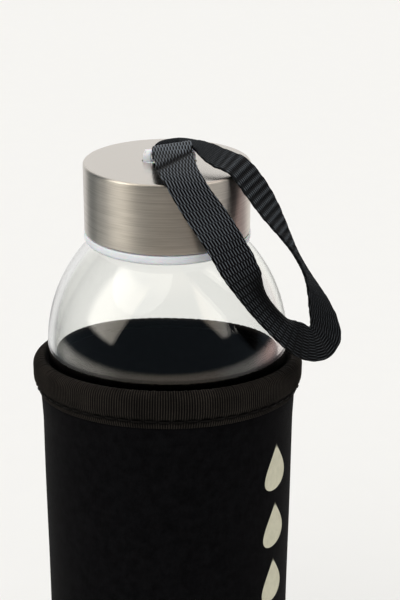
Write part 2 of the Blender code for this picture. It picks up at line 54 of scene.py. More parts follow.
CAP_R, SHELL_Z0, LID_Z = shell_hi.x, shell_lo.z, shell_hi.z
liner_lo, liner_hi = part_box("cap_liner")
LIP_R, LIP_Z0, LINER_Z1 = liner_hi.x, liner_lo.z, liner_hi.z
bridge_lo, bridge_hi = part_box("strap_bridge")
BRIDGE_X = (bridge_lo.x + bridge_hi.x) / 2
SLEEVE_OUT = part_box("sleeve_body")[1].x
HEM_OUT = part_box("sleeve_binding")[1].x
BASE_R, BASE_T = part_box("sleeve_base")[1].x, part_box("sleeve_base")[1].z

# ------------------------ sizes of the pieces
GAP = 0.0003  # between pieces that touch
CORE_R = 0.0004  # a turned face closes in a small fan inside this radius
SAME = 1e-6  # radii closer than this are the same
CUT_PAST = 0.001  # how far cutters reach past what they cut

GLASS_WALL = 0.0020
GLASS_FLOOR = 0.0045
FLOOR_CROWN = 0.0007  # the floor inside rises this much in the middle
SHOULDER_R = 0.040
NECK_R = 0.0178
NECK_WALL = 0.0022
NECK_H = 0.0149  # shoulder to mouth
HEEL_R = 0.0060
PUNT_R = 0.0240  # hollow under the foot
PUNT_RISE = 0.0025
PUNT_CURVE = 2.4  # it is flatter in the middle than a parabola
PUNT_CORE_R = 0.0006  # such a fan in the hollow
FOOT_ROUND = 0.0004  # rounding on which the glass stands
FOOT_OUT = 0.0012  # its distance from the hollow
MOUTH_ROUND = 0.0009
WALL_WANDER = 0.00012  # how far the inside of the glass wanders
WANDER_UP = 0.028  # as high as this above the shoulder's foot
WANDER_R = 0.016  # and outside this radius
PITCH = 0.0040
GLASS_TURNS = 1.35
GLASS_RIDGE = 0.0014
RIDGE_W = 0.0015
RIDGE_FLANK = 0.55  # share of a ridge's half width that slopes
RIDGE_FADE = 0.09  # turns over which a ridge fades into its wall
THREAD_TOP = 0.0028  # mouth to the upper end of the glass thread

SHELL_T = 0.0006
SHELL_EDGE = 0.0006
SHELL_HEM = 0.0003  # rounding of the steel's lower edge
TOP_RING = 0.0008  # narrow ring of faces next to the rounded top edge
TOP_DEPTH = 0.00002  # faces this close to the top have the blasted finish
LINER_RUN = 0.0006  # liner bore to the crest of the glass thread
LINER_TOP_T = 0.0014
LINER_EDGE = 0.0008
LINER_POCKET_T = 0.0011
LEAD_IN, LEAD_IN_H = 0.0006, 0.0008  # widening at the foot of the liner's bore
BORE_FILLET = 0.0008
BUMP_SUNK = 0.0005  # how far the pocket's walls reach into the liner's top
LID_RIDGE = 0.0015
LID_TURNS = 1.15
THREAD_BACK = 0.0016  # the liner thread lies this far under the glass thread
LIP_ROUND = 0.0012
LIP_EDGE = 0.0003

BAR_R = 0.0008
BAR_COVER = 0.00015  # post above the bar
POST_T = 0.0011
POST_D = 0.0042
POST_SLIM = 0.0002  # a post is this much slimmer than its plug, front and back
POST_RISE = 0.0002
POST_SUNK = 0.0003
POST_FILL = 0.0010  # the left post is swollen towards the webbing
POST_DEEP, POST_TALL = 0.8, 0.55  # how strongly its depth and its height shrink outwards
# A post from its inner to its outer face: share of its thickness, how far it has shrunk.
POST_PROFILE = ((0.0, 0.0), (0.25, 0.02), (0.5, 0.10), (0.75, 0.27), (0.92, 0.5), (1.0, 0.78))
PLUG_RISE = 0.00012
PLUG_EDGE = 0.00025
PLUG_SUNK = 0.0004
SIDE_ROOM, FREE_ROOM = 0.0003, 0.0013  # webbing's edge to the nearer post and to the other
PLATE_T = 0.0010
PLATE_OUT = 0.0018  # how far the snap plate reaches past the plug

STRAP_W = 0.0100
STRAP_T = 0.0009
STRAP_RUN = 0.00025  # room round the webbing where it passes under the bar
STRAP_STEP = 0.00033  # from each cross-section of the webbing to the next
WARPS = 26  # yarns side by side in the webbing
FLOAT_L = 0.00415  # repeat of the weave along the webbing
WEAVE_SKEW = -0.18  # the rows of floats run aslant
WEAVE = 0.00016  # how far the floats stand out
YARN_LOW, YARN_LIFT = 0.18, 0.82  # a yarn between its floats, and how much a float adds
EDGE_W = 0.045  # share of the width over which the webbing thins towards its edges
EDGE_THIN, EDGE_LIFT = 0.45, 0.55  # thickness at the edge, and what the middle adds
EDGE_TEETH = 0.00008  # the weft's loops along both edges

HEM_SLOPE = 0.125  # the rim was pulled up at the front
HEM_DROP = 0.0038  # middle of the rim below the shoulder's foot
LEAN_FOOT = 0.020  # below this height the sleeve stands level
HEM_H = 0.0103
HEM_EDGE_T = 0.0005  # tape at its lower edge, drawn in by the stitches
HEM_FULL_UP = 0.0042  # it is fullest from here, above its lower edge
HEM_CROWN_H, HEM_CROWN_IN = 0.0026, 0.0024  # rounding of its top: height, depth
HEM_CROWN = 0.0023  # its thickness over the tube's edge
HEM_RIBS = 348
RIB_RISE = 0.00012
RIB_CROWN = 1.6  # the ribs stand out this much more on the crown
HEM_WANDER = 0.00012
HEM_WAVE = 0.0002  # the rim's unevenness up and down
HEM_FUZZ = 0.00005
STITCH_UP = 0.0022  # above the tape's lower edge
STITCH_NEAR = 0.0006  # the tape is drawn in this close to the stitches
STITCH_PULL = 0.00022
STITCH_SHARE = 0.74  # length of a stitch that shows against their pitch
STITCH_RISE = 0.00026
STITCH_SUNK = 0.00028
STITCH_SWAY = 0.00012
STITCHES = 64
THREAD_R = 0.00024
NEOPRENE_T = 0.0018
SLEEVE_EDGE = 0.0012
SLEEVE_FLARE, FLARE_H = 0.0003, 0.010  # the tube stands off where the tape begins
SLEEVE_WANDER = 0.00016
INNER_EDGE = 0.0003
BASE_EDGE = 0.0004
BASE_CORE_R = 0.0005  # the fans of the base panel
SEAM_OUT = 0.00018  # middle of a seam's thread outside the tube
SEAM_UP = 0.0050
SEAM_WAVE = 0.0001
SEAM_STITCHES = 56
ZIGZAG = 0.0016
SIDE_W = 0.0032
SIDE_PITCH = 0.0021
SIDE_WAVE = 0.00008
SIDE_END = 0.0040  # the back seam stops this far from the tape and the base seam
PRINT_Z = (0.1425, 0.1245, 0.1065)  # plain drops printed on the sleeve
PRINT_TURN = -0.56  # radians from +X
PRINT_W = 0.0052
PRINT_H = 0.0075
PRINT_FULL = 0.6  # how round a drop is
PRINT_SOFT = 0.04  # how soft its outline is

# ------------------------ places worked out from them
NECK_Z = MOUTH_Z - NECK_H
SHOULDER_X = GLASS_R - SHOULDER_R
SHOULDER_Z = NECK_Z - math.sqrt(SHOULDER_R**2 - (NECK_R - SHOULDER_X) ** 2)
THREAD_Z = MOUTH_Z - THREAD_TOP - PITCH * GLASS_TURNS
LINER_R = CAP_R - SHELL_T - GAP
LINER_BORE = NECK_R + GLASS_RIDGE + LINER_RUN
LIP_Z1 = SHELL_Z0 - GAP
BAR_Z = LID_Z + STRAP_RUN + STRAP_T + STRAP_RUN + BAR_R
BAR_ROOM = BAR_R + STRAP_RUN + STRAP_T / 2
GAP_W = STRAP_W + SIDE_ROOM + FREE_ROOM
BRIDGE_W = GAP_W + 2 * POST_T
STRAP_X = BRIDGE_X + (FREE_ROOM - SIDE_ROOM) / 2
SLEEVE_IN = SLEEVE_OUT - NEOPRENE_T
HEM_Z1 = SHOULDER_Z - HEM_DROP
HEM_Z0 = HEM_Z1 - HEM_H
FOLD_IN = SLEEVE_OUT + GAP


# ------------------------ meshes
def smooth_step(x):
    x = np.clip(x, 0.0, 1.0)
    return x * x * (3 - 2 * x)


def bell(x, width):
    return np.exp(-((x / width) ** 2))


def unit(rows):
    return rows / np.linalg.norm(rows, axis=1)[:, None]


def circle(n):
    return np.radians(np.linspace(0, 360, n + 1)[:-1])


def ripple(a, z, seed):
    """Soft unevenness between -1 and 1 over azimuth a and height z; the factors only mix it."""
    total = 0.0
    for k in range(1, 6):
        turn = seed * 1.7 + k * 2.39
        total = total + np.sin(k * a + turn + 38.0 * z * math.cos(turn)) * np.cos(
            z * (22.0 + 17.0 * k) + seed * k
        )
    return total / 3.2


def arc(cx, cz, r, a0, a1, n):
    """Points (radius, height) on an arc, angles in degrees from +radius towards +Z."""
    a = np.radians(np.linspace(a0, a1, n + 1))
    return list(zip(cx + r * np.cos(a), cz + r * np.sin(a)))


def line(p, q, n):
    return [(p[0] + (q[0] - p[0]) * i / n, p[1] + (q[1] - p[1]) * i / n) for i in range(1, n)]


def link(name, data):
    ob = bpy.data.objects.new(name, data)
    bpy.context.scene.collection.objects.link(ob)
    return ob


def put(name, verts, faces, mat, origin=(0, 0, 0)):
    """A new object from vertices and faces, facing outwards."""
    verts = np.asarray(verts, float)
    mesh = bpy.data.meshes.new(name)
    mesh.from_pydata((verts - np.array(origin)).tolist(), [], faces)
    mesh.update()
    mesh.calc_loop_triangles()
    tris = np.array([t.vertices[:] for t in mesh.loop_triangles])
    p = verts[tris]
    if np.einsum("ij,ij->i", p[:, 0], np.cross(p[:, 1], p[:, 2])).sum() < 0:
        mesh.flip_normals()
    mesh.polygons.foreach_set("use_smooth", [True] * len(mesh.polygons))
    mesh.materials.append(mat)
    ob = link(name, mesh)
    ob.location = origin
    return ob


def skin(rings, closed):
    """Vertices and faces of a tube through closed rings; open ends get a fan."""
    rings = np.asarray(rings, float)
    n, m = rings.shape[:2]
    verts = rings.reshape(-1, 3)
    i = np.arange(n if closed else n - 1)[:, None]
    k = np.arange(m)[None, :]
    a, d = i * m + k, ((i + 1) % n) * m + k
    b, c = i * m + (k + 1) % m, ((i + 1) % n) * m + (k + 1) % m
    faces = np.stack([a, b, c, d], -1).reshape(-1, 4).tolist()
    if not closed:
        hubs = len(verts)
        verts = np.vstack([verts, rings[0].mean(0), rings[-1].mean(0)])
        last = (n - 1) * m
        faces += [[hubs, (j + 1) % m, j] for j in range(m)]
        faces += [[hubs + 1, last + j, last + (j + 1) % m] for j in range(m)]
    return verts, faces


def lathe(name, outline, mat, seg=192, closed=True, warp=None):
    """Turns an outline of (radius, height) about Z; closed outlines make rings."""
    r = np.array([p[0] for p in outline])[:, None]
    z = np.array([p[1] for p in outline])[:, None]
    a = np.linspace(0, 2 * math.pi, seg, endpoint=False)[None, :]
    r, z, a = np.broadcast_arrays(r, z, a)
    if warp:
        r, z = warp(r.copy(), z.copy(), a)
    rings = np.stack([r * np.cos(a), r * np.sin(a), z], -1)
    return put(name, *skin(rings, closed), mat)


def sharpen(ob, degrees):
    """Keeps edges sharper than this many degrees sharp."""
    ob.data.set_sharp_from_angle(angle=math.radians(degrees))
    return ob


def cut(target, cutter, operation):
    """Applies an exact Boolean with a cutter, which is then removed."""
    mod = target.modifiers.new(operation.lower(), "BOOLEAN")
    mod.operation, mod.solver, mod.object = operation, "EXACT", cutter
    graph = bpy.context.evaluated_depsgraph_get()
    mesh = bpy.data.meshes.new_from_object(target.evaluated_get(graph))
    target.modifiers.clear()
    target.data = mesh
    mesh.name = target.name
    bpy.data.objects.remove(cutter, do_unlink=True)
    return target


def stadium(name, length, width, z0, z1, mat, edge=0.0, n=24):
    """Upright prism with a stadium outline, long along X, its top edge rounded by edge."""
    half, r = (length - width) / 2, width / 2
    a = np.radians(np.concatenate([np.linspace(-90, 90, n), np.linspace(90, 270, n)]))
    side = np.where(np.arange(2 * n) < n, half, -half)
    rows = [(0.0, z0), (0.0, z1 - edge)]
    for turn in (20, 45, 70, 90) if edge else ():
        t = math.radians(turn)
        rows.append((edge * (1 - math.cos(t)), z1 - edge + edge * math.sin(t)))
    rings = [
        np.stack([BRIDGE_X + side + (r - s) * np.cos(a), (r - s) * np.sin(a), np.full(2 * n, z)], -1)
        for s, z in rows
    ]
    return put(name, *skin(rings, False), mat)


def tube(points, r, sides=8, closed=False):
    """Vertices and faces of a round tube that runs round the bottle or along it."""
    p = np.asarray(points, float)
    n = len(p)
    ahead = np.roll(p, -1, 0) if closed else np.vstack([p[1:], p[-1:]])
    behind = np.roll(p, 1, 0) if closed else np.vstack([p[:1], p[:-1]])
    along = unit(ahead - behind)
    out = p * [1, 1, 0]
    out = unit(out - along * (out * along).sum(1)[:, None])
    side = np.cross(along, out)
    r = np.broadcast_to(r, n)[:, None, None]
    a = np.linspace(0, 2 * math.pi, sides, endpoint=False)[None, :, None]
    rings = p[:, None, :] + r * (np.cos(a) * out[:, None, :] + np.sin(a) * side[:, None, :])
    return skin(rings, closed)


def joined(name, pieces, mat):
    """One object from several (vertices, faces)."""
    verts, faces, start = [], [], 0
    for v, f in pieces:
        verts.append(v)
        faces += [[i + start for i in face] for face in f]
        start += len(v)
    return put(name, np.vstack(verts), faces, mat)


def keep_painted_shading(ob, values):
    """Stores painted light and shade from 0 to 1 for each vertex, which the material reads."""
    layer = ob.data.attributes.new("painted_shading", "FLOAT", "POINT")
    layer.data.foreach_set("value", values.ravel().astype(np.float32))
    return ob


# ------------------------ material helpers
class Nodes:
    """Short way to build the nodes of a material or of the world."""

    def __init__(self, owner):
        owner.use_nodes = True
        self.mat, self.tree = owner, owner.node_tree
        self.shader = self.tree.nodes.get("Principled BSDF")

    def set(self, **values):
        for key, value in values.items():
            self.shader.inputs[key.replace("_", " ")].default_value = value

    def add(self, kind, settings=None, **inputs):
        node = self.tree.nodes.new("ShaderNode" + kind)
        for key, value in (settings or {}).items():
            setattr(node, key, value)
        for key, value in inputs.items():
            self.feed(node, key, value)
        return node

    def out(self, kind, settings=None, **inputs):
        """The first output of a new node."""
        return self.add(kind, settings, **inputs).outputs[0]

    def feed(self, node, key, value):
        """Links or sets an input, named, or i0, i1 and so on by its place."""
        index = int(key[1:]) if key[0] == "i" and key[1:].isdigit() else key.replace("_", " ")
        if isinstance(value, bpy.types.NodeSocket):
            self.tree.links.new(value, node.inputs[index])
        else:
            node.inputs[index].default_value = value

    def math(self, operation, a, b=0.0, c=0.0):
        return self.out("Math", {"operation": operation}, i0=a, i1=b, i2=c)

    def times(self, a, b):
        return self.math("MULTIPLY", a, b)

    def plus(self, a, b):
        return self.math("ADD", a, b)

    def minus(self, a, b):
        return self.math("SUBTRACT", a, b)

    def ramp(self, value, stops):
        node = self.add("ValToRGB", Fac=value)
        points = node.color_ramp.elements
        while len(points) < len(stops):
            points.new(0.5)
        for point, (place, colour) in zip(points, stops):
            point.position = place
            point.color = (*colour, 1.0) if len(colour) == 3 else colour
        return node.outputs[0]

    def colour(self, value, stops):
        self.feed(self.shader, "Base Color", self.ramp(value, stops))

    def point(self):
        """The point on the resting object."""
        return self.add("TexCoord").outputs["Object"]

    def place(self):
        """That point, and its x, y and z."""
        coords = self.point()
        return coords, *self.add("SeparateXYZ", Vector=coords).outputs

    # The painted light and shade stored on the vertices.
    def painted_shading(self):
        return self.add("Attribute", {"attribute_name": "painted_shading"}).outputs["Fac"]

    def noise(self, vector, scale, detail=2.0, rough=0.5):
        node = self.add("TexNoise", Vector=vector, Scale=scale, Detail=detail, Roughness=rough)
        return node.outputs["Fac"]

    def between(self, value, low, high):
        """Rises smoothly from 0 at low to 1 at high."""
        settings = {"interpolation_type": "SMOOTHSTEP"}
        return self.out("MapRange", settings, Value=value, i1=low, i2=high)

    def spread(self, value, low, high, first=0.0, last=1.0):
        """Maps first..last to low..high."""
        return self.out("MapRange", Value=value, i1=first, i2=last, i3=low, i4=high)

    def bump(self, height, distance, strength=1.0):
        node = self.add("Bump", Height=height, Distance=distance, Strength=strength)
        self.tree.links.new(node.outputs[0], self.shader.inputs["Normal"])

    def around(self, x, y):
        return self.math("ARCTAN2", y, x)


# ------------------------ materials
STEEL_DARK, STEEL_LIGHT = (0.60, 0.56, 0.505), (0.82, 0.775, 0.72)
GLASS_TINTS = ((0.2, (0.985, 0.992, 0.976)), (0.8, (0.992, 0.998, 0.986)))
# The webbing's colours run from painted shade to painted highlight.
WEBBING_SHADES = (
    (0.10, (0.0012, 0.0012, 0.0014)),
    (0.50, (0.0132, 0.0146, 0.0166)),
    (1.00, (0.142, 0.160, 0.180)),
)
KNIT_SHADES = ((0.35, (0.0014, 0.0014, 0.0018)), (0.65, (0.0046, 0.0046, 0.0054)))
CREAM_SHADES = ((0.35, (0.62, 0.60, 0.46)), (0.65, (0.72, 0.69, 0.54)))
# The tape's colours run from painted shade in the grooves to painted highlight on the ribs.
TAPE_SHADES = (
    (0.15, (0.0010, 0.0009, 0.0009)),
    (0.55, (0.0062, 0.0054, 0.0048)),
    (0.95, (0.045, 0.038, 0.031)),
)
THREAD_SHADES = ((0.3, (0.001, 0.001, 0.001)), (0.8, (0.008, 0.007, 0.006)))
SILICONE_SHADES = ((0.3, (0.76, 0.78, 0.78)), (0.7, (0.84, 0.86, 0.86)))
PAPER_SHADES = ((0.0, (0.818, 0.816, 0.806)), (1.0, (0.830, 0.828, 0.818)))
WALES = 440.0  # sines of the knit round the tube
COURSE = 0.00042  # repeat of the knit up the tube


def material(name):
    return Nodes(bpy.data.materials.new(name))


def brushed_steel():
    """Satin steel, brushed round the lid's side."""
    m = material("brushed_steel")
    _, x, y, z = m.place()
    turn = m.around(x, y)
    drawn = m.out("CombineXYZ", X=m.times(turn, 0.9), Y=m.times(z, 5200.0))
    fine = m.noise(drawn, 1.0, 3.0, 0.6)
    slow = m.out("CombineXYZ", X=m.times(turn, 2.4), Y=m.times(z, 900.0))
    broad = m.noise(slow, 1.0, 2.0)
    lines = m.plus(m.times(fine, 0.7), m.times(broad, 0.3))
    m.colour(lines, [(0.36, STEEL_DARK), (0.64, STEEL_LIGHT)])
    m.feed(m.shader, "Roughness", m.spread(lines, 0.34, 0.44, 0.3, 0.7))
    m.set(Metallic=1.0, Anisotropic=0.85, Anisotropic_Rotation=0.25)
    m.feed(m.shader, "Tangent", m.out("Tangent", {"direction_type": "RADIAL", "axis": "Z"}))
    m.bump(lines, 0.00002, 0.8)
    return m.mat


def blasted_steel():
    """The same steel finely blasted, on the lid's top face."""
    m = material("blasted_steel")
    coords = m.point()
    grain = m.noise(coords, 9000.0, 1.0)
    m.colour(grain, [(0.30, STEEL_DARK), (0.70, STEEL_LIGHT)])
    m.feed(m.shader, "Roughness", m.spread(m.noise(coords, 90.0, 2.0), 0.17, 0.21, 0.3, 0.7))
    m.set(Metallic=1.0)
    return m.mat


def glass():
    m = material("clear_glass")
    m.colour(m.noise(m.point(), 30.0, 0.0), GLASS_TINTS)
    m.set(Transmission_Weight=1.0, Roughness=0.0, IOR=1.5)
    return m.mat


def plastic(name, low, high, rough):
    m = material(name)
    coords = m.point()
    cloud = m.noise(coords, 260.0, 3.0)
    grain = m.noise(coords, 5200.0, 2.0)
    m.colour(cloud, [(0.3, low), (0.7, high)])
    m.set(Roughness=rough, IOR=1.49, Subsurface_Weight=0.25, Subsurface_Scale=0.002)
    m.bump(grain, 0.00002, 0.35)
    return m.mat


def webbing():
    """Woven nylon with painted light: painted highlights on the floats and painted shade in the furrows
    between them.
    """
    m = material("woven_nylon")
    fibre = m.noise(m.point(), 5200.0, 3.0, 0.7)
    # Painted light and shade, varied by the fibre's tone.
    painted_light_and_fibre = m.times(m.painted_shading(), m.plus(m.times(fibre, 0.8), 0.6))
    m.colour(painted_light_and_fibre, WEBBING_SHADES)
    m.feed(m.shader, "Roughness", m.spread(fibre, 0.34, 0.55))
    m.set(Specular_IOR_Level=0.06)
    m.bump(fibre, 0.00005, 0.6)
    return m.mat


def drops(m, turn, z, outside):
    """1 inside the plain drops, pointed at the top, and 0 round them."""
    across = m.times(m.minus(turn, PRINT_TURN), SLEEVE_OUT / PRINT_W)
    inside = 0.0
    for height in PRINT_Z:
        u = m.math("MULTIPLY_ADD", z, 1 / PRINT_H, -height / PRINT_H)
        taper = m.math("POWER", m.minus(1.0, u), 2.0)
        wide = m.times(m.minus(1.0, m.math("POWER", u, 2.0)), taper)
        room = m.minus(m.times(wide, PRINT_FULL), m.math("POWER", across, 2.0))
        inside = m.math("MAXIMUM", inside, m.between(room, 0.0, PRINT_SOFT))
    return m.times(inside, outside)


def neoprene():
    """Fine knit over foam rubber: faint wales up the tube and a soft dusty bloom."""
    m = material("neoprene_knit")
    coords, x, y, z = m.place()
    turn = m.around(x, y)
    wale = m.math("SINE", m.times(turn, WALES))
    course = m.math("SINE", m.times(z, 2 * math.pi / COURSE))
    knit = m.math("MULTIPLY_ADD", wale, course, m.times(wale, 0.6))
    dust = m.noise(coords, 420.0, 4.0, 0.7)
    speck = m.noise(coords, 3800.0, 2.0, 0.8)
    mixed = m.plus(m.times(dust, 0.7), m.times(speck, 0.3))
    black = m.ramp(mixed, KNIT_SHADES)
    radius = m.math("SQRT", m.plus(m.math("POWER", x, 2.0), m.math("POWER", y, 2.0)))
    outside = m.math("GREATER_THAN", radius, SLEEVE_OUT - NEOPRENE_T / 2)
    cream = m.ramp(mixed, CREAM_SHADES)
    colour = m.add("Mix", {"data_type": "RGBA"}, i0=drops(m, turn, z, outside), i6=black, i7=cream)
    m.feed(m.shader, "Base Color", colour.outputs[2])
    m.set(Roughness=0.85, Specular_IOR_Level=0.035, Sheen_Weight=0.03, Sheen_Roughness=0.35)
    m.bump(knit, 0.00004, 0.45)
    return m.mat


def ribbed_tape():
    m = material("ribbed_tape")
    coords = m.point()
    fluff = m.noise(coords, 2600.0, 4.0, 0.75)
    patch = m.noise(coords, 120.0, 2.0)
    # Painted shade in the grooves between the ribs and at the stitches, mixed with fluff and patchy
    # tone.
    lift = m.plus(m.times(m.painted_shading(), 0.62), m.times(fluff, 0.42))
    lift = m.plus(lift, m.times(m.minus(patch, 0.5), 0.35))
    m.colour(lift, TAPE_SHADES)
    m.set(Roughness=0.8, Specular_IOR_Level=0.05)
    m.bump(fluff, 0.00008, 0.5)
    return m.mat


def sewing_thread():
    m = material("sewing_thread")
    coords, x, y, z = m.place()
    turn = m.around(x, y)
    twist = m.math("SINE", m.plus(m.times(turn, 520.0), m.times(z, 9000.0)))
    fibre = m.noise(coords, 6000.0, 2.0)
    mixed = m.plus(m.times(twist, 0.25), fibre)
    m.colour(mixed, THREAD_SHADES)
    m.set(Roughness=0.6, Specular_IOR_Level=0.1)
    m.bump(mixed, 0.00004, 0.5)
    return m.mat


def silicone():
    m = material("seal_silicone")
    cloud = m.noise(m.point(), 700.0, 2.0)
    m.colour(cloud, SILICONE_SHADES)
    m.set(Roughness=0.5, Subsurface_Weight=0.3, Subsurface_Scale=0.002)
    m.bump(cloud, 0.00002, 0.3)
    return m.mat


# ------------------------ glass bottle
def helix(r, z, a, low, turns, width, rise):
    """How far a right-handed thread of that many turns stands out at (z, a)."""
    out = np.zeros_like(r)
    for k in range(int(math.ceil(turns)) + 1):
        turn = a / (2 * math.pi) + k
        inside = smooth_step(np.minimum(turn, turns - turn) / RIDGE_FADE)
        off = np.abs(z - (low + PITCH * turn))
        out = np.maximum(out, inside * smooth_step((width - off) / (RIDGE_FLANK * width)))
    return out * rise


def glass_bottle(mat):
    def shoulder(inset, n):
        r = SHOULDER_R - inset
        neck = NECK_R - (NECK_WALL if inset else 0.0)
        return arc(SHOULDER_X, SHOULDER_Z, r, 0, math.degrees(math.acos((neck - SHOULDER_X) / r)), n)

    foot, floor = FOOT_Z, FOOT_Z + GLASS_FLOOR
    hollow = np.linspace(0.1, 0.97, 12)
    outer = [(PUNT_CORE_R, foot + PUNT_RISE)]
    outer += [(PUNT_R * s, foot + PUNT_RISE * (1 - s**PUNT_CURVE)) for s in hollow]
    outer += arc(PUNT_R + FOOT_OUT, foot + FOOT_ROUND, FOOT_ROUND, 200, 270, 3)
    outer += arc(GLASS_R - HEEL_R, foot + HEEL_R, HEEL_R, -90, 0, 14)
    outer += line(outer[-1], (GLASS_R, SHOULDER_Z), 18)
    outer += shoulder(0.0, 40)
    rim = MOUTH_Z - MOUTH_ROUND
    outer += line(outer[-1], (NECK_R, rim), 58)
    neck_in = NECK_R - NECK_WALL
    outer += arc(NECK_R - MOUTH_ROUND, rim, MOUTH_ROUND, 0, 90, 6)
    outer += arc(neck_in + MOUTH_ROUND, rim, MOUTH_ROUND, 90, 180, 6)
    turned = len(outer)
    inner = shoulder(GLASS_WALL, 32)[::-1]
    inner += line(inner[-1], (GLASS_R - GLASS_WALL, floor + HEEL_R), 24)
    bend = HEEL_R - GLASS_WALL
    inner += arc(GLASS_R - GLASS_WALL - bend, floor + bend, bend, 0, -90, 10)
    inner += [(PUNT_R * s, floor + FLOOR_CROWN * (1 - s * s)) for s in np.linspace(0.95, 0.03, 12)]

    def warp(r, z, a):
        rows = np.arange(len(outer) + len(inner))[:, None]
        on_neck = (rows < turned) & (np.abs(r - NECK_R) < SAME)
        r = r + np.where(on_neck, helix(r, z, a, THREAD_Z, GLASS_TURNS, RIDGE_W, GLASS_RIDGE), 0.0)
        inside = (rows > turned) & (z < SHOULDER_Z + WANDER_UP) & (r > WANDER_R)
        r = r - np.where(inside, WALL_WANDER * ripple(a, z, 3.0), 0.0)
        return r, z

    return lathe("glass_body", outer + inner, mat, 224, False, warp)


# ------------------------ lid
def lid_shell(mat, top_mat):
    top, low, e, hem = LID_Z, SHELL_Z0, SHELL_EDGE, SHELL_HEM
    inside = max(e - SHELL_T, SHELL_HEM)
    outline = [(CORE_R, top), (CAP_R * 0.5, top), (CAP_R - e - TOP_RING, top)]
    outline += arc(CAP_R - e, top - e, e, 90, 0, 9)
    outline += line((CAP_R, top - e), (CAP_R, low + hem), 8)
    outline += arc(CAP_R - hem, low + hem, hem, 0, -180, 6)
    outline += [(CAP_R - SHELL_T, low + 2 * hem)]
    outline += arc(CAP_R - SHELL_T - inside, top - SHELL_T - inside, inside, 0, 90, 4)
    outline += [(CAP_R * 0.5, top - SHELL_T), (CORE_R, top - SHELL_T)]
    shell = lathe("lid_shell", outline, mat, 256, True)
    length, width = BRIDGE_W + 2 * GAP, POST_D + 2 * GAP
    hole = stadium("hole", length, width, top - SHELL_T - CUT_PAST, top + CUT_PAST, mat)
    cut(shell, hole, "DIFFERENCE")
    shell.data.materials.append(top_mat)
    for face in shell.data.polygons:
        if face.center.z > top - TOP_DEPTH:
            face.material_index = len(shell.data.materials) - 1
    return sharpen(shell, 35)


def lid_liner(mat):
    low, under = LIP_Z0, LINER_Z1 - LINER_TOP_T
    bore_low, bore_top = low + LEAD_IN_H, under - BORE_FILLET
    outline = [(CORE_R, LINER_Z1), (LINER_R * 0.6, LINER_Z1)]
    outline += arc(LINER_R - LINER_EDGE, LINER_Z1 - LINER_EDGE, LINER_EDGE, 90, 0, 4)
    outline += [(LINER_R, LIP_Z1)]
    outline += arc(LIP_R - LIP_EDGE, LIP_Z1 - LIP_EDGE, LIP_EDGE, 90, 0, 4)
    outline += arc(LIP_R - LIP_ROUND, low + LIP_ROUND, LIP_ROUND, 0, -90, 8)
    outline += [(LINER_BORE + LEAD_IN, low), (LINER_BORE, bore_low)]
    outline += line((LINER_BORE, bore_low), (LINER_BORE, bore_top), 56)
    outline += arc(LINER_BORE - BORE_FILLET, bore_top, BORE_FILLET, 0, 90, 4)
    outline += [(CORE_R, under)]
    low_z = THREAD_Z - THREAD_BACK

    def warp(r, z, a):
        on_bore = np.abs(r - LINER_BORE) < SAME
        return r - np.where(on_bore, helix(r, z, a, low_z, LID_TURNS, RIDGE_W, LID_RIDGE), 0.0), z

    liner = lathe("lid_liner", outline, mat, 192, False, warp)
    length = BRIDGE_W + 2 * PLATE_OUT + 2 * GAP
    width = POST_D + 2 * PLATE_OUT + 2 * GAP
    wall = LINER_POCKET_T
    deep = LINER_Z1 - PLATE_T - GAP
    bump = stadium("bump", length + 2 * wall, width + 2 * wall, deep - wall, under + BUMP_SUNK, mat)
    cut(liner, bump, "UNION")
    cut(liner, stadium("pocket", length, width, deep, LINER_Z1 + CUT_PAST, mat), "DIFFERENCE")
    return sharpen(liner, 40)


def strap_bridge(mat):
    """Snap plate and plug under two rounded posts, with the round bar between them."""
    plate_top = LID_Z - SHELL_T - GAP
    length, width = BRIDGE_W + 2 * PLATE_OUT, POST_D + 2 * PLATE_OUT
    bridge = stadium("bridge", length, width, plate_top - PLATE_T, plate_top, mat)
    plug = stadium("plug", BRIDGE_W, POST_D, plate_top - PLUG_SUNK, LID_Z + PLUG_RISE, mat, PLUG_EDGE)
    cut(bridge, plug, "UNION")
    post_top = BAR_Z + BAR_R + BAR_COVER
    turns = circle(32)
    for side, fill in ((-1, POST_FILL), (1, 0.0)):
        inner = BRIDGE_X + side * (GAP_W / 2 - fill)
        rings = []
        for out, shrink in POST_PROFILE:
            x = np.full(len(turns), inner + side * (POST_T + fill) * out)
            y = (POST_D / 2 - POST_SLIM) * (1 - POST_DEEP * shrink) * np.cos(turns)
            tall = (post_top - LID_Z + POST_RISE) * (1 - POST_TALL * shrink)
            z = LID_Z - POST_SUNK + np.maximum(tall * np.sin(turns), 0.0)
            rings.append(np.stack([x, y, z], -1))
        cut(bridge, put("post", *skin(rings, False), mat), "UNION")
    reach = GAP_W / 2 + POST_T / 2
    ring = circle(28)
    y, z = BAR_R * np.cos(ring), BAR_Z + BAR_R * np.sin(ring)
    bar = [np.stack([np.full(len(ring), BRIDGE_X + x), y, z], -1) for x in (-reach, reach)]
    cut(bridge, put("bar", *skin(bar, False), mat), "UNION")
    return sharpen(bridge, 45)


# ------------------------ carry strap
# The webbing's route, as in the construction: x, y and z in mm from the bar's middle
# (x, y) and the lid's top (z), the way its width runs, and how far it is gathered.
OVER_FRONT = (
    (0.0, -0.15, 3.9, (1.0, 0.0, 0.06), 1.0),
    (0.3, -1.7, 5.1, (1.0, 0.05, 0.16), 1.0),
    (0.8, -7.5, 4.0, (0.98, 0.15, 0.13), 1.0),
)
OVER_RIGHT = (
    (12.7, -7.2, 2.8, (-0.38, -0.88, -0.22), 0.90),
    (8.8, -3.2, 3.7, (-0.20, -0.93, -0.28), 0.76),
    (5.8, -0.2, 4.35, (0.08, -0.98, -0.16), 0.60),
    (3.1, 1.2, 4.5, (0.70, -0.65, -0.15), 0.64),
    (0.9, 1.8, 4.1, (0.95, -0.10, -0.10), 0.84),
    (0.1, 1.6, 3.2, (1.0, 0.0, 0.0), 0.96),
)
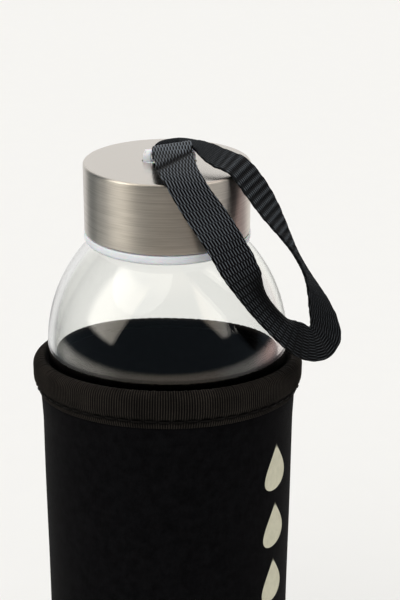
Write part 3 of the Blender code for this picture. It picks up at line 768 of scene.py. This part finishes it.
# Past the rim: azimuth in degrees, share of the way from the lid's radius to the
# glass's, mm outwards from there and mm up from the lid's top.
HANGING = (
    (-80.0, 0.0, -4.2, 2.7, (0.98, 0.08, 0.10)),
    (-78.0, 0.0, 0.9, 1.3, (0.99, 0.06, 0.08)),
    (-74.0, 0.0, 2.6, -1.8, (0.97, 0.12, 0.15)),
    (-67.0, 0.2, 1.7, -6.9, (0.90, 0.26, 0.32)),
    (-59.0, 0.5, 0.6, -13.5, (0.83, 0.42, 0.36)),
    (-51.5, 0.8, 0.4, -22.0, (0.70, 0.58, 0.40)),
    (-44.5, 1.0, 0.9, -29.5, (0.52, 0.74, 0.42)),
    (-38.0, 1.0, 3.9, -35.7, (0.36, 0.78, 0.52)),
    (-32.0, 1.0, 6.6, -40.5, (0.14, 0.62, 0.78)),
    (-27.5, 1.0, 9.2, -43.2, (-0.18, 0.28, 0.94)),
    (-24.0, 1.0, 11.2, -43.5, (-0.56, 0.05, 0.82)),
    (-21.5, 1.0, 12.0, -40.8, (-0.83, -0.10, 0.54)),
    (-21.0, 1.0, 11.0, -36.2, (-0.78, -0.44, 0.44)),
    (-20.5, 1.0, 9.1, -31.6, (-0.57, -0.72, 0.40)),
    (-20.5, 0.8, 8.3, -26.1, (-0.26, -0.91, 0.31)),
    (-20.5, 0.6, 7.3, -21.0, (-0.20, -0.94, 0.26)),
    (-20.5, 0.4, 5.9, -15.5, (-0.30, -0.94, 0.08)),
    (-22.0, 0.2, 4.1, -9.2, (-0.44, -0.88, -0.10)),
    (-25.5, 0.0, 2.9, -3.5, (-0.50, -0.85, -0.15)),
    (-30.5, 0.0, -0.8, 1.7, (-0.46, -0.87, -0.13)),
)
MM = 0.001
# Stretches of the webbing, in mm from the bar: first, last, and how long they ease in and out.
SLACK = (40, 64, 9)
# LOW_FRONT, DEEP_FRONT and INNER_SHADE only place painted shade on the yarns.
LOW_FRONT = (42, 74, 12)
DEEP_FRONT = (54, 86, 10)
INNER_SHADE = (57, 78, 7)
CURLED = (57, 88, 13)
TURN = (76, 100, 8)
RIGHT_LEG = (106, 152, 12)
FOLD_AT, FOLD_W, FOLD_DEEP = 17.5, 1.4, 0.5  # the crease where the webbing leaves the bar
FOLD_ASLANT = 8.0
PLEAT_L, PLEAT_ASLANT, PLEAT_RISE = 2.15, 0.25, 0.16  # fine pleats of the right leg
SLACK_L, SLACK_RISE = 6.5, 0.22
TURN_L, TURN_RISE = 3.1, 0.12
CURL, CURL_FROM = math.radians(80), 0.02  # the curled inner edge, and where across it starts
# Where the webbing is wider or narrower: mm from the bar, half length, share of its width.
WIDTHS = ((54, 4, 0.05), (112, 8, -0.35))
# Where painted shade falls on the webbing, or below 0 painted light again: how much, from where, over
# how many mm.
PAINTED_SHADE_STEPS = ((0.14, 52, 8), (0.22, 74, 8), (-0.15, 112, 14))


def strap_places():
    """(middle, width direction, gather) all round the loop, from the rear of the bar."""
    rows = []
    for i in range(5):  # half a turn round the bar
        a = -math.pi * i / 4
        rows.append([STRAP_X, BAR_ROOM * math.cos(a), BAR_Z + BAR_ROOM * math.sin(a), 1, 0, 0, 1])
    for x, y, z, way, gather in OVER_FRONT:
        rows.append([STRAP_X + x * MM, -BAR_ROOM + y * MM, LID_Z + z * MM, *way, gather])
    for az, share, out, up, way in HANGING:
        r = CAP_R + share * (GLASS_R - CAP_R) + out * MM
        a = math.radians(az)
        rows.append([r * math.cos(a), r * math.sin(a), LID_Z + up * MM, *way, 1.0])
    for x, y, z, way, gather in OVER_RIGHT:
        rows.append([STRAP_X + x * MM, y * MM, LID_Z + z * MM, *way, gather])
    return np.array(rows, float)


def strap_line(fine=24):
    """The route as a closed Catmull-Rom curve, then at even steps along its length."""
    rows = strap_places()
    t = np.linspace(0, 1, fine, endpoint=False)[:, None]
    parts = []
    for i in range(len(rows)):
        a, b, c, d = (rows[(i + k) % len(rows)][None, :] for k in (-1, 0, 1, 2))
        square, cube = 2 * a - 5 * b + 4 * c - d, 3 * b - a - 3 * c + d
        parts.append(0.5 * (2 * b + (c - a) * t + square * t**2 + cube * t**3))
    curve = np.vstack(parts)
    step = np.linalg.norm(np.roll(curve, -1, 0)[:, :3] - curve[:, :3], axis=1)
    run = np.concatenate([[0], np.cumsum(step)])
    length = run[-1]
    s = np.linspace(0, length, int(round(length / STRAP_STEP)), endpoint=False)
    closed = np.vstack([curve, curve[:1]])
    return s, length, np.stack([np.interp(s, run, closed[:, k]) for k in range(7)], 1)


def weave(s, t, length):
    """Height of the webbing's face from 0 to 1: long floats in staggered rows."""
    rows = round(length / FLOAT_L)
    column = (t + 0.5) * WARPS
    j = np.floor(column)
    across = np.cos(math.pi * (column - j - 0.5))
    skew = WEAVE_SKEW * STRAP_W * t / FLOAT_L
    along = np.cos(2 * math.pi * (s / length * rows + skew + 0.5 * (j % 2)))
    floats = np.clip(along * 1.1 + 0.6, 0, 1) ** 0.8  # longer than the gaps between them
    return np.clip(across, 0, 1) ** 0.6 * (YARN_LOW + YARN_LIFT * floats)


def stretch(s, first, last, ease):
    """1 along part of the webbing, easing in and out."""
    return smooth_step((s - first) / ease) * smooth_step((last - s) / ease)


def pleats(s, t):
    return stretch(s, *RIGHT_LEG) * np.sin(2 * math.pi * (s / PLEAT_L + PLEAT_ASLANT * t))


def crumpled(s, t):
    """How far the face is pushed up, in mm, at s mm along and t across, from -0.5 to 0.5."""
    fold = -FOLD_DEEP * bell(s - FOLD_AT + FOLD_ASLANT * t, FOLD_W)
    slack = SLACK_RISE * stretch(s, *SLACK) * np.sin(2 * math.pi * s / SLACK_L) * smooth_step(t + 0.5)
    turn = TURN_RISE * stretch(s, *TURN) * np.sin(2 * math.pi * s / TURN_L + 2.0 * t)
    return fold + slack + turn + PLEAT_RISE * pleats(s, t) * (1 - np.abs(2 * t) ** 3)


def painted_yarn_light(h, s, t):
    """Painted light on the yarns: a painted highlight near the bar, painted shade in the crease, towards
    and round the turn and in bands across the pleats, lighter again up the right leg.
    """
    # The painted shade in the furrows deepens towards the turn; past it the painted highlights on the
    # floats even out.
    h = h ** (1 + 1.2 * stretch(s, *LOW_FRONT) + 1.6 * stretch(s, *DEEP_FRONT))
    painted_light_near_bar = 1 + 0.4 * smooth_step((15 - s + 6 * t) / 3)
    painted_crease_shade = 1 - 0.75 * bell(s - 18 + FOLD_ASLANT * t, 1.6)
    painted_shade = 1 - sum(share * smooth_step((s - first) / over) for share, first, over in PAINTED_SHADE_STEPS)
    painted_shade = painted_shade - 0.35 * stretch(s, *INNER_SHADE) * smooth_step((t + 0.3) / 0.5)
    even = 0.45 * smooth_step((s - 104) / 14)
    return (h * (1 - even) + 0.62 * even) * painted_light_near_bar * painted_crease_shade * painted_shade * (1 + 0.4 * pleats(s, t))


def carry_strap(mat):
    """The woven loop: floats on both faces of a core that thins towards its edges."""
    s, length, rows = strap_line()
    centre, wide, gather = rows[:, :3], unit(rows[:, 3:6]), rows[:, 6]
    face = unit(np.cross(unit(np.roll(centre, -1, 0) - np.roll(centre, 1, 0)), wide))
    s = s[:, None]
    mm = s / MM
    per = 4 * WARPS
    t = ((np.arange(per) + 0.5) / per - 0.5)[None, :]
    # The inner edge is curled away from the front where the loop turns.
    bend = CURL * stretch(mm, *CURLED) * smooth_step((t - CURL_FROM) / (0.5 - CURL_FROM))
    across = np.cumsum(np.cos(bend), 1) / per - 0.5 - 0.5 / per
    back = -np.cumsum(np.sin(bend), 1) / per
    width = STRAP_W * gather[:, None]
    for at, reach, share in WIDTHS:
        width = width * (1 + share * bell(mm - at, reach))
    width = width + EDGE_TEETH * np.cos(4 * math.pi * s / FLOAT_L) * np.abs(2 * t) ** 6
    flat = np.clip((0.5 - np.abs(t)) / EDGE_W, 0, 1) ** 0.5
    push = crumpled(mm, t) * MM
    core = (STRAP_T / 2 - WEAVE) * (EDGE_THIN + EDGE_LIFT * flat)
    sides, painted_shading = [], []
    for sign, shift in ((-1, 0.0), (1, 0.5)):
        h = weave(s + shift * FLOAT_L / 2, t, length)
        lift = (core + WEAVE * h) * sign
        x = across * width + lift * np.sin(bend)
        y = back * width + lift * np.cos(bend) + push
        side = centre[:, None, :] + wide[:, None, :] * x[:, :, None] + face[:, None, :] * y[:, :, None]
        sides.append(side[:, ::sign])
        # The painted light on each face, which the material reads.
        painted_shading.append(painted_yarn_light(h, mm, t)[:, ::sign])
    ob = put("webbing_loop", *skin(np.concatenate(sides, 1), True), mat, (0, 0, BAR_Z))
    return keep_painted_shading(ob, np.concatenate(painted_shading, 1))


# ------------------------ sleeve
def lean(z, y):
    """Heights of the sleeve: raised at the front and lowered at the back, level at the foot."""
    share = np.clip((z - LEAN_FOOT) / (HEM_Z0 - LEAN_FOOT), 0, 1)
    return z - HEM_SLOPE * y * share


def sleeve_tube(mat):
    top, e, inner = HEM_Z1 - HEM_CROWN - GAP, SLEEVE_EDGE, INNER_EDGE
    outline = [(SLEEVE_IN, inner)]
    outline += arc(SLEEVE_IN + inner, inner, inner, 180, 270, 2)
    outline += arc(SLEEVE_OUT - e, e, e, -90, 0, 6)
    outline += line((SLEEVE_OUT, e), (SLEEVE_OUT, top), 150)
    outline += [(SLEEVE_OUT, top), (SLEEVE_IN, top)]
    outline += line((SLEEVE_IN, top), (SLEEVE_IN, inner), 20)

    def warp(r, z, a):
        """Uneven between the foot and the tape, and standing off where the tape begins."""
        uneven = smooth_step((z - 0.004) / 0.02) * smooth_step((HEM_Z0 + 0.001 - z) / 0.012)
        flare = smooth_step((z - (HEM_Z0 - FLARE_H)) / FLARE_H) * (z < HEM_Z0 + 0.0002)
        out = SLEEVE_FLARE * flare + SLEEVE_WANDER * ripple(a, z, 1.0) * uneven
        r = r + np.where(r > SLEEVE_OUT - e / 2, out, 0.0)
        return r, lean(z, r * np.sin(a))

    return sharpen(lathe("sleeve_tube", outline, mat, 288, True, warp), 60)


def binding(mat):
    """Ribbed tape folded over the tube's edge and drawn in along its stitches."""
    z0, z1 = HEM_Z0, HEM_Z1
    crown_r, crown_z = HEM_OUT - HEM_CROWN_IN, z1 - HEM_CROWN_H
    lean_in = crown_r - SLEEVE_IN
    outline = [(SLEEVE_IN, z1 - HEM_CROWN)]
    outline += arc(crown_r, z1 - lean_in, lean_in, 180, 90, 5)
    for i in range(1, 9):
        a = math.radians(90 - 90 * i / 8)
        outline.append((crown_r + HEM_CROWN_IN * math.cos(a), crown_z + HEM_CROWN_H * math.sin(a)))
    outline += line((HEM_OUT, crown_z), (HEM_OUT, z0 + HEM_FULL_UP), 5)
    edge = FOLD_IN + HEM_EDGE_T
    outline += line((HEM_OUT, z0 + HEM_FULL_UP), (edge, z0 + 0.0003), 14)
    outline += [(edge, z0 + 0.0003), (edge - 0.0002, z0), (FOLD_IN, z0), (FOLD_IN, z1 - HEM_CROWN)]
    painted_shading = {}

    def warp(r, z, a):
        # The faces against the tube and the glass stay plain.
        shown = smooth_step((r - SLEEVE_IN - 0.0003) / 0.0005) * (r > SLEEVE_IN + 0.0001)
        shown = shown * ~((r < FOLD_IN + 0.0002) & (z < z1 - HEM_CROWN + 0.0001))
        # The ribs wander a little, and fade where the stitches draw the tape in.
        sway = 0.9 * np.sin((z - z0) * 420.0 + 3.0 * a) + 0.5 * np.sin(11 * a)
        rib = 0.5 + 0.5 * np.cos(HEM_RIBS * a + sway)
        near = bell(z - z0 - STITCH_UP, STITCH_NEAR)
        held = 0.5 + 0.5 * np.cos(STITCHES * a)
        crown = smooth_step((z - (z1 - 0.0016)) / 0.001)
        h = rib * (1 - 0.55 * near)
        # The ribs' height is kept as painted shade in their grooves, and painted shade darkens the tape
        # at each stitch.
        painted_shading["value"] = np.clip(h * shown - 0.7 * near * held, 0, 1)
        out = RIB_RISE * (1 + (RIB_CROWN - 1) * crown) * (h - 0.5)
        out = out - STITCH_PULL * near * (0.35 + 0.65 * held)
        out = out + HEM_WANDER * ripple(a, z * 0.6, 5.0)
        r = r + out * shown
        fuzz = np.sin(HEM_RIBS / 2 * a + 3 * np.sin(17 * a)) + np.sin(83 * a)
        z = z + (HEM_FUZZ * crown * fuzz + HEM_WAVE * ripple(a, 0.0, 8.0)) * shown
        return r, lean(z, r * np.sin(a))

    return keep_painted_shading(lathe("rim_binding", outline, mat, HEM_RIBS * 5, True, warp), painted_shading["value"])


def stitches(mat):
    """A row of lockstitches: each shows as a short thread that dives in at both ends."""
    swell = (HEM_OUT - FOLD_IN - HEM_EDGE_T) * STITCH_UP / HEM_FULL_UP
    surface = FOLD_IN + HEM_EDGE_T + swell
    t = np.linspace(-1, 1, 9)
    pieces = []
    for k in range(STITCHES):
        a = 2 * math.pi * k / STITCHES + t * math.pi / STITCHES * STITCH_SHARE
        r = surface - STITCH_SUNK + STITCH_RISE * (1 - t**4)
        x, y = r * np.cos(a), r * np.sin(a)
        z = HEM_Z0 + STITCH_UP + STITCH_SWAY * math.sin(2.3 * k) - HEM_SLOPE * y
        pieces.append(tube(np.stack([x, y, z], 1), THREAD_R * (1 - 0.35 * t**6), 8))
    return joined("rim_stitches", pieces, mat)


def base_seam(mat):
    """Zigzag of thread that closes the tube on to its round base panel."""
    a = np.linspace(0, 2 * math.pi, 16 * SEAM_STITCHES, endpoint=False)
    saw = np.abs((a * SEAM_STITCHES / math.pi) % 2 - 1)
    r = SLEEVE_OUT + SEAM_OUT + SEAM_WAVE * np.sin(2 * SEAM_STITCHES * a)
    path = np.stack([r * np.cos(a), r * np.sin(a), SEAM_UP + ZIGZAG * smooth_step(saw)], 1)
    return put("foot_seam", *tube(path, THREAD_R, 8, True), mat)


def back_seam(mat):
    """Flat zigzag seam up the back of the tube."""
    low = SEAM_UP + ZIGZAG + SIDE_END
    high = HEM_Z0 - HEM_SLOPE * HEM_OUT - SIDE_END
    count = int((high - low) / SIDE_PITCH)
    k = np.linspace(0, count, count * 8 + 1)
    saw = 2 * np.abs(k % 2 - 1) - 1
    middle = SLEEVE_OUT + SEAM_OUT
    a = math.pi / 2 + saw * SIDE_W / 2 / middle
    r = middle + SIDE_WAVE * np.cos(2 * math.pi * k)
    path = np.stack([r * np.cos(a), r * np.sin(a), low + SIDE_PITCH * k], 1)
    return put("back_seam", *tube(path, THREAD_R * 0.9, 8), mat)


def base_panel(mat):
    c = BASE_EDGE
    outline = [(BASE_CORE_R, 0.0), (BASE_R - c, 0.0)]
    outline += arc(BASE_R - c, c, c, -90, 0, 4)
    outline += arc(BASE_R - c, BASE_T - c, c, 0, 90, 4)
    outline += [(BASE_CORE_R, BASE_T)]
    return sharpen(lathe("base_panel", outline, mat, 192, False), 60)


# ------------------------ stage
BACKGROUND = (0.905, 0.900, 0.882, 1.0)
FLOOR_SIZE = 30.0
WORLD_LIGHT = 0.25
WORLD_ABOVE = 0.50  # added overhead
TABLE_NEAR, TABLE_FAR = 0.55, 0.82  # in reflections the table ends between these distances
ROOM_LIGHT = 0.07  # the dark room behind the camera
ROOM_COLOUR = (0.80, 1.0, 1.18, 1.0)
WINDOW_LIGHT = 2.4
# Angles in degrees, azimuths from the front. Of a pair, nothing at the first, full at the second.
SKY_RISE = (-5.0, 70.0)
OVERHEAD = (38.0, 62.0)
BEHIND = (118.0, 142.0)
WINDOW_TOP = (62.0, 44.0)
WINDOW_EDGE = (-1.5, 2.5)  # above a window's lower edge
LEFT_START = (-92.0, -80.0)
LEFT_SLOPES = ((-0.135, -5.2), (1.9, 102.7))  # lower edge: rise for each degree, height in front
RIGHT_START, RIGHT_END = (36.0, 44.0), (90.0, 82.0)
RIGHT_SLOPE = (-1.09, 68.7)
RIGHT_SILL = 6.5
BAR_AT, BAR_EDGE = 67.0, (1.8, 3.2)
# The table close by is darker: its distances, how much, and how much more to the right and left.
NEARBY = (0.50, 0.40)
SHADE, SHADE_RIGHT, SHADE_LEFT = 0.40, 0.45, 0.30
SHADED_RIGHT, SHADED_LEFT = (84.0, 94.0), (-40.0, -62.0)
# What stands round the bottle in its reflections: degrees from the front, colour.
SURROUND = (
    (-180, (0.77, 0.75, 0.73)),
    (-143, (0.77, 0.75, 0.73)),
    (-133, (0.28, 0.27, 0.24)),
    (-118, (0.44, 0.43, 0.38)),
    (-106, (1.15, 1.11, 1.02)),
    (-66, (1.20, 1.13, 1.00)),
    (-42, (0.64, 0.58, 0.49)),
    (-8, (0.69, 0.59, 0.47)),
    (44, (0.65, 0.55, 0.45)),
    (62, (0.74, 0.70, 0.64)),
    (86, (0.76, 0.71, 0.65)),
    (92, (0.92, 0.80, 0.75)),
    (112, (1.25, 0.86, 0.78)),
    (130, (0.55, 0.43, 0.41)),
    (152, (0.86, 0.84, 0.78)),
    (164, (0.84, 0.82, 0.77)),
    (180, (0.77, 0.75, 0.73)),
)


def directions(m, x, y):
    """Degrees from the front, the colour that stands there, and 1 behind the bottle."""
    turn = m.math("ARCTAN2", x, m.times(y, -1.0))
    share = m.math("MULTIPLY_ADD", turn, 1 / (2 * math.pi), 0.5)
    stops = [(degrees / 360 + 0.5, colour) for degrees, colour in SURROUND]
    az = m.times(turn, 180 / math.pi)
    return az, m.ramp(share, stops), m.between(m.math("ABSOLUTE", az), *BEHIND)


def plain_to(m):
    """Which rays see the plain background, direct or through glass, and which the surround."""
    path = m.add("LightPath")
    scattered = m.math("GREATER_THAN", path.outputs["Diffuse Depth"], 0.5)
    mirrored = m.math("GREATER_THAN", path.outputs["Glossy Depth"], 0.5)
    shiny = m.times(mirrored, m.minus(1.0, scattered))
    return m.minus(1.0, m.math("MAXIMUM", scattered, mirrored)), shiny


def windows(m, az, up):
    """Two windows with slanted lower edges, the right one with a bar."""
    slopes = [m.math("MULTIPLY_ADD", az, *slope) for slope in LEFT_SLOPES]
    left = m.between(m.minus(up, m.math("MAXIMUM", *slopes)), *WINDOW_EDGE)
    left = m.times(left, m.between(az, *LEFT_START))
    right_low = m.math("MAXIMUM", m.math("MULTIPLY_ADD", az, *RIGHT_SLOPE), RIGHT_SILL)
    right = m.between(m.minus(up, right_low), *WINDOW_EDGE)
    for ends in (RIGHT_START, RIGHT_END):
        right = m.times(right, m.between(az, *ends))
    bar = m.between(m.math("ABSOLUTE", m.minus(az, BAR_AT)), *BAR_EDGE)
    both = m.plus(left, m.times(right, bar))
    return m.times(both, m.between(up, *WINDOW_TOP))


def world_light():
    world = bpy.data.worlds.new("studio")
    bpy.context.scene.world = world
    m = Nodes(world)
    m.tree.nodes.clear()
    split = m.add("SeparateXYZ", Vector=m.add("TexCoord").outputs["Generated"])
    x, y, z = split.outputs
    az, colour, behind = directions(m, x, y)
    up = m.times(m.math("ARCSINE", z), 180 / math.pi)
    light = m.times(windows(m, az, up), WINDOW_LIGHT)
    light = m.math("MAXIMUM", m.math("MAXIMUM", light, behind), m.between(up, *OVERHEAD))
    plain, shiny = plain_to(m)
    above = m.math("MULTIPLY_ADD", m.between(up, *SKY_RISE), WORLD_ABOVE, WORLD_LIGHT)
    soft = m.out("Background", Color=(1.0, 0.99, 0.97, 1.0), Strength=above)
    bright = m.out("Background", Color=colour, Strength=light)
    room = m.out("Background", Color=ROOM_COLOUR, Strength=ROOM_LIGHT)
    mirrored = m.out("AddShader", i0=bright, i1=room)
    backdrop = m.out("Background", Color=BACKGROUND, Strength=1.0)
    indirect = m.out("MixShader", Fac=shiny, i1=soft, i2=mirrored)
    m.add("OutputWorld", Surface=m.out("MixShader", Fac=plain, i1=indirect, i2=backdrop))


def floor():
    """Pale paper: diffuse for light and shadow, and the studio's surround in reflections."""
    m = material("pale_paper")
    coords, x, y, _ = m.place()
    m.set(Roughness=0.9, Specular_IOR_Level=0.1)
    m.colour(m.noise(coords, 60.0, 2.0), PAPER_SHADES)
    az, colour, behind = directions(m, x, y)
    away = m.add("VectorMath", {"operation": "LENGTH"}, i0=coords).outputs["Value"]
    shade = m.math("MULTIPLY_ADD", m.between(az, *SHADED_RIGHT), SHADE_RIGHT, SHADE)
    shade = m.math("MULTIPLY_ADD", m.between(az, *SHADED_LEFT), SHADE_LEFT, shade)
    lit = m.minus(1.0, m.times(m.between(away, *NEARBY), shade))
    table = m.times(m.between(away, TABLE_FAR, TABLE_NEAR), lit)
    bright = m.out("Emission", Color=colour, Strength=m.math("MAXIMUM", table, behind))
    room = m.out("Emission", Color=ROOM_COLOUR, Strength=ROOM_LIGHT)
    light = m.out("AddShader", i0=bright, i1=room)
    shiny = plain_to(m)[1]
    both = m.out("MixShader", Fac=shiny, i1=m.shader.outputs[0], i2=light)
    m.feed(m.tree.nodes["Material Output"], "Surface", both)
    half = FLOOR_SIZE / 2
    corners = [(-half, -half, 0), (half, -half, 0), (half, half, 0), (-half, half, 0)]
    mesh = bpy.data.meshes.new("floor")
    mesh.from_pydata(corners, [], [(0, 1, 2, 3)])
    mesh.materials.append(m.mat)
    ob = link("floor", mesh)


def lamp(name, kind, energy, place, aim, colour=(1, 1, 1), **more):
    data = bpy.data.lights.new(name, kind)
    data.energy = energy
    data.color = colour
    for key, value in more.items():
        setattr(data, key, value)
    ob = link(name, data)
    ob.location = place
    ob.rotation_euler = (Vector(aim) - Vector(place)).to_track_quat("-Z", "Y").to_euler()
    return ob


def lights():
    middle = (0, 0, 0.15)
    key = lamp("key", "SUN", 1.35, (-0.7, -0.6, 1.6), middle, (1.0, 0.985, 0.96), angle=math.radians(60))
    fill = lamp("fill", "SUN", 0.60, (0.5, 0.5, 1.2), middle, (0.98, 0.99, 1.0), angle=math.radians(80))
    for light in (key, fill):
        light.visible_glossy = False


FOCAL_PX = 1338.75  # in the photograph's frame, 600 px high
FRAME_PX = 600
PITCH_DOWN = 22.10
ROLL = 0.328
EYE = (0.0088046, -0.3374027, LID_Z + 0.0978)


def camera():
    data = bpy.data.cameras.new("camera")
    data.sensor_width = 36.0
    data.lens = data.sensor_width * FOCAL_PX / FRAME_PX
    data.clip_start = 0.01
    ob = link("camera", data)
    tilt = Matrix.Rotation(math.radians(90 - PITCH_DOWN), 4, "X")
    ob.matrix_world = Matrix.Translation(EYE) @ tilt @ Matrix.Rotation(math.radians(ROLL), 4, "Z")
    bpy.context.scene.camera = ob


# ------------------------ everything in place
bpy.context.scene.view_settings.view_transform = "Standard"
camera()
world_light()
lights()
floor()

white = plastic("translucent_white", (0.80, 0.83, 0.88), (0.86, 0.88, 0.92), 0.35)
knit, tape, sewn = neoprene(), ribbed_tape(), sewing_thread()
PIECES = (
    (glass_bottle(glass()), "bottle", "glass_bottle", "glass"),
    (lid_shell(brushed_steel(), blasted_steel()), "cap", "cap_shell", "steel"),
    (lid_liner(white), "cap", "cap_liner", "white_plastic"),
    (strap_bridge(white), "cap", "strap_bridge", "white_plastic"),
    (carry_strap(webbing()), "strap", "carry_strap", "webbing"),
    (sleeve_tube(knit), "sleeve", "sleeve_body", "neoprene"),
    (binding(tape), "sleeve", "sleeve_binding", "binding"),
    (stitches(sewn), "sleeve", "hem_stitching", "thread"),
    (base_seam(sewn), "sleeve", "base_seam_stitching", "thread"),
    (back_seam(sewn), "sleeve", "side_seam_stitching", "thread"),
    (base_panel(knit), "sleeve", "sleeve_base", "neoprene"),
)
for piece, body, node, slot in PIECES:
    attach(piece, body)
    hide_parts(node)

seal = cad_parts["cap_seal"]
seal.data.materials.clear()
seal.data.materials.append(silicone())
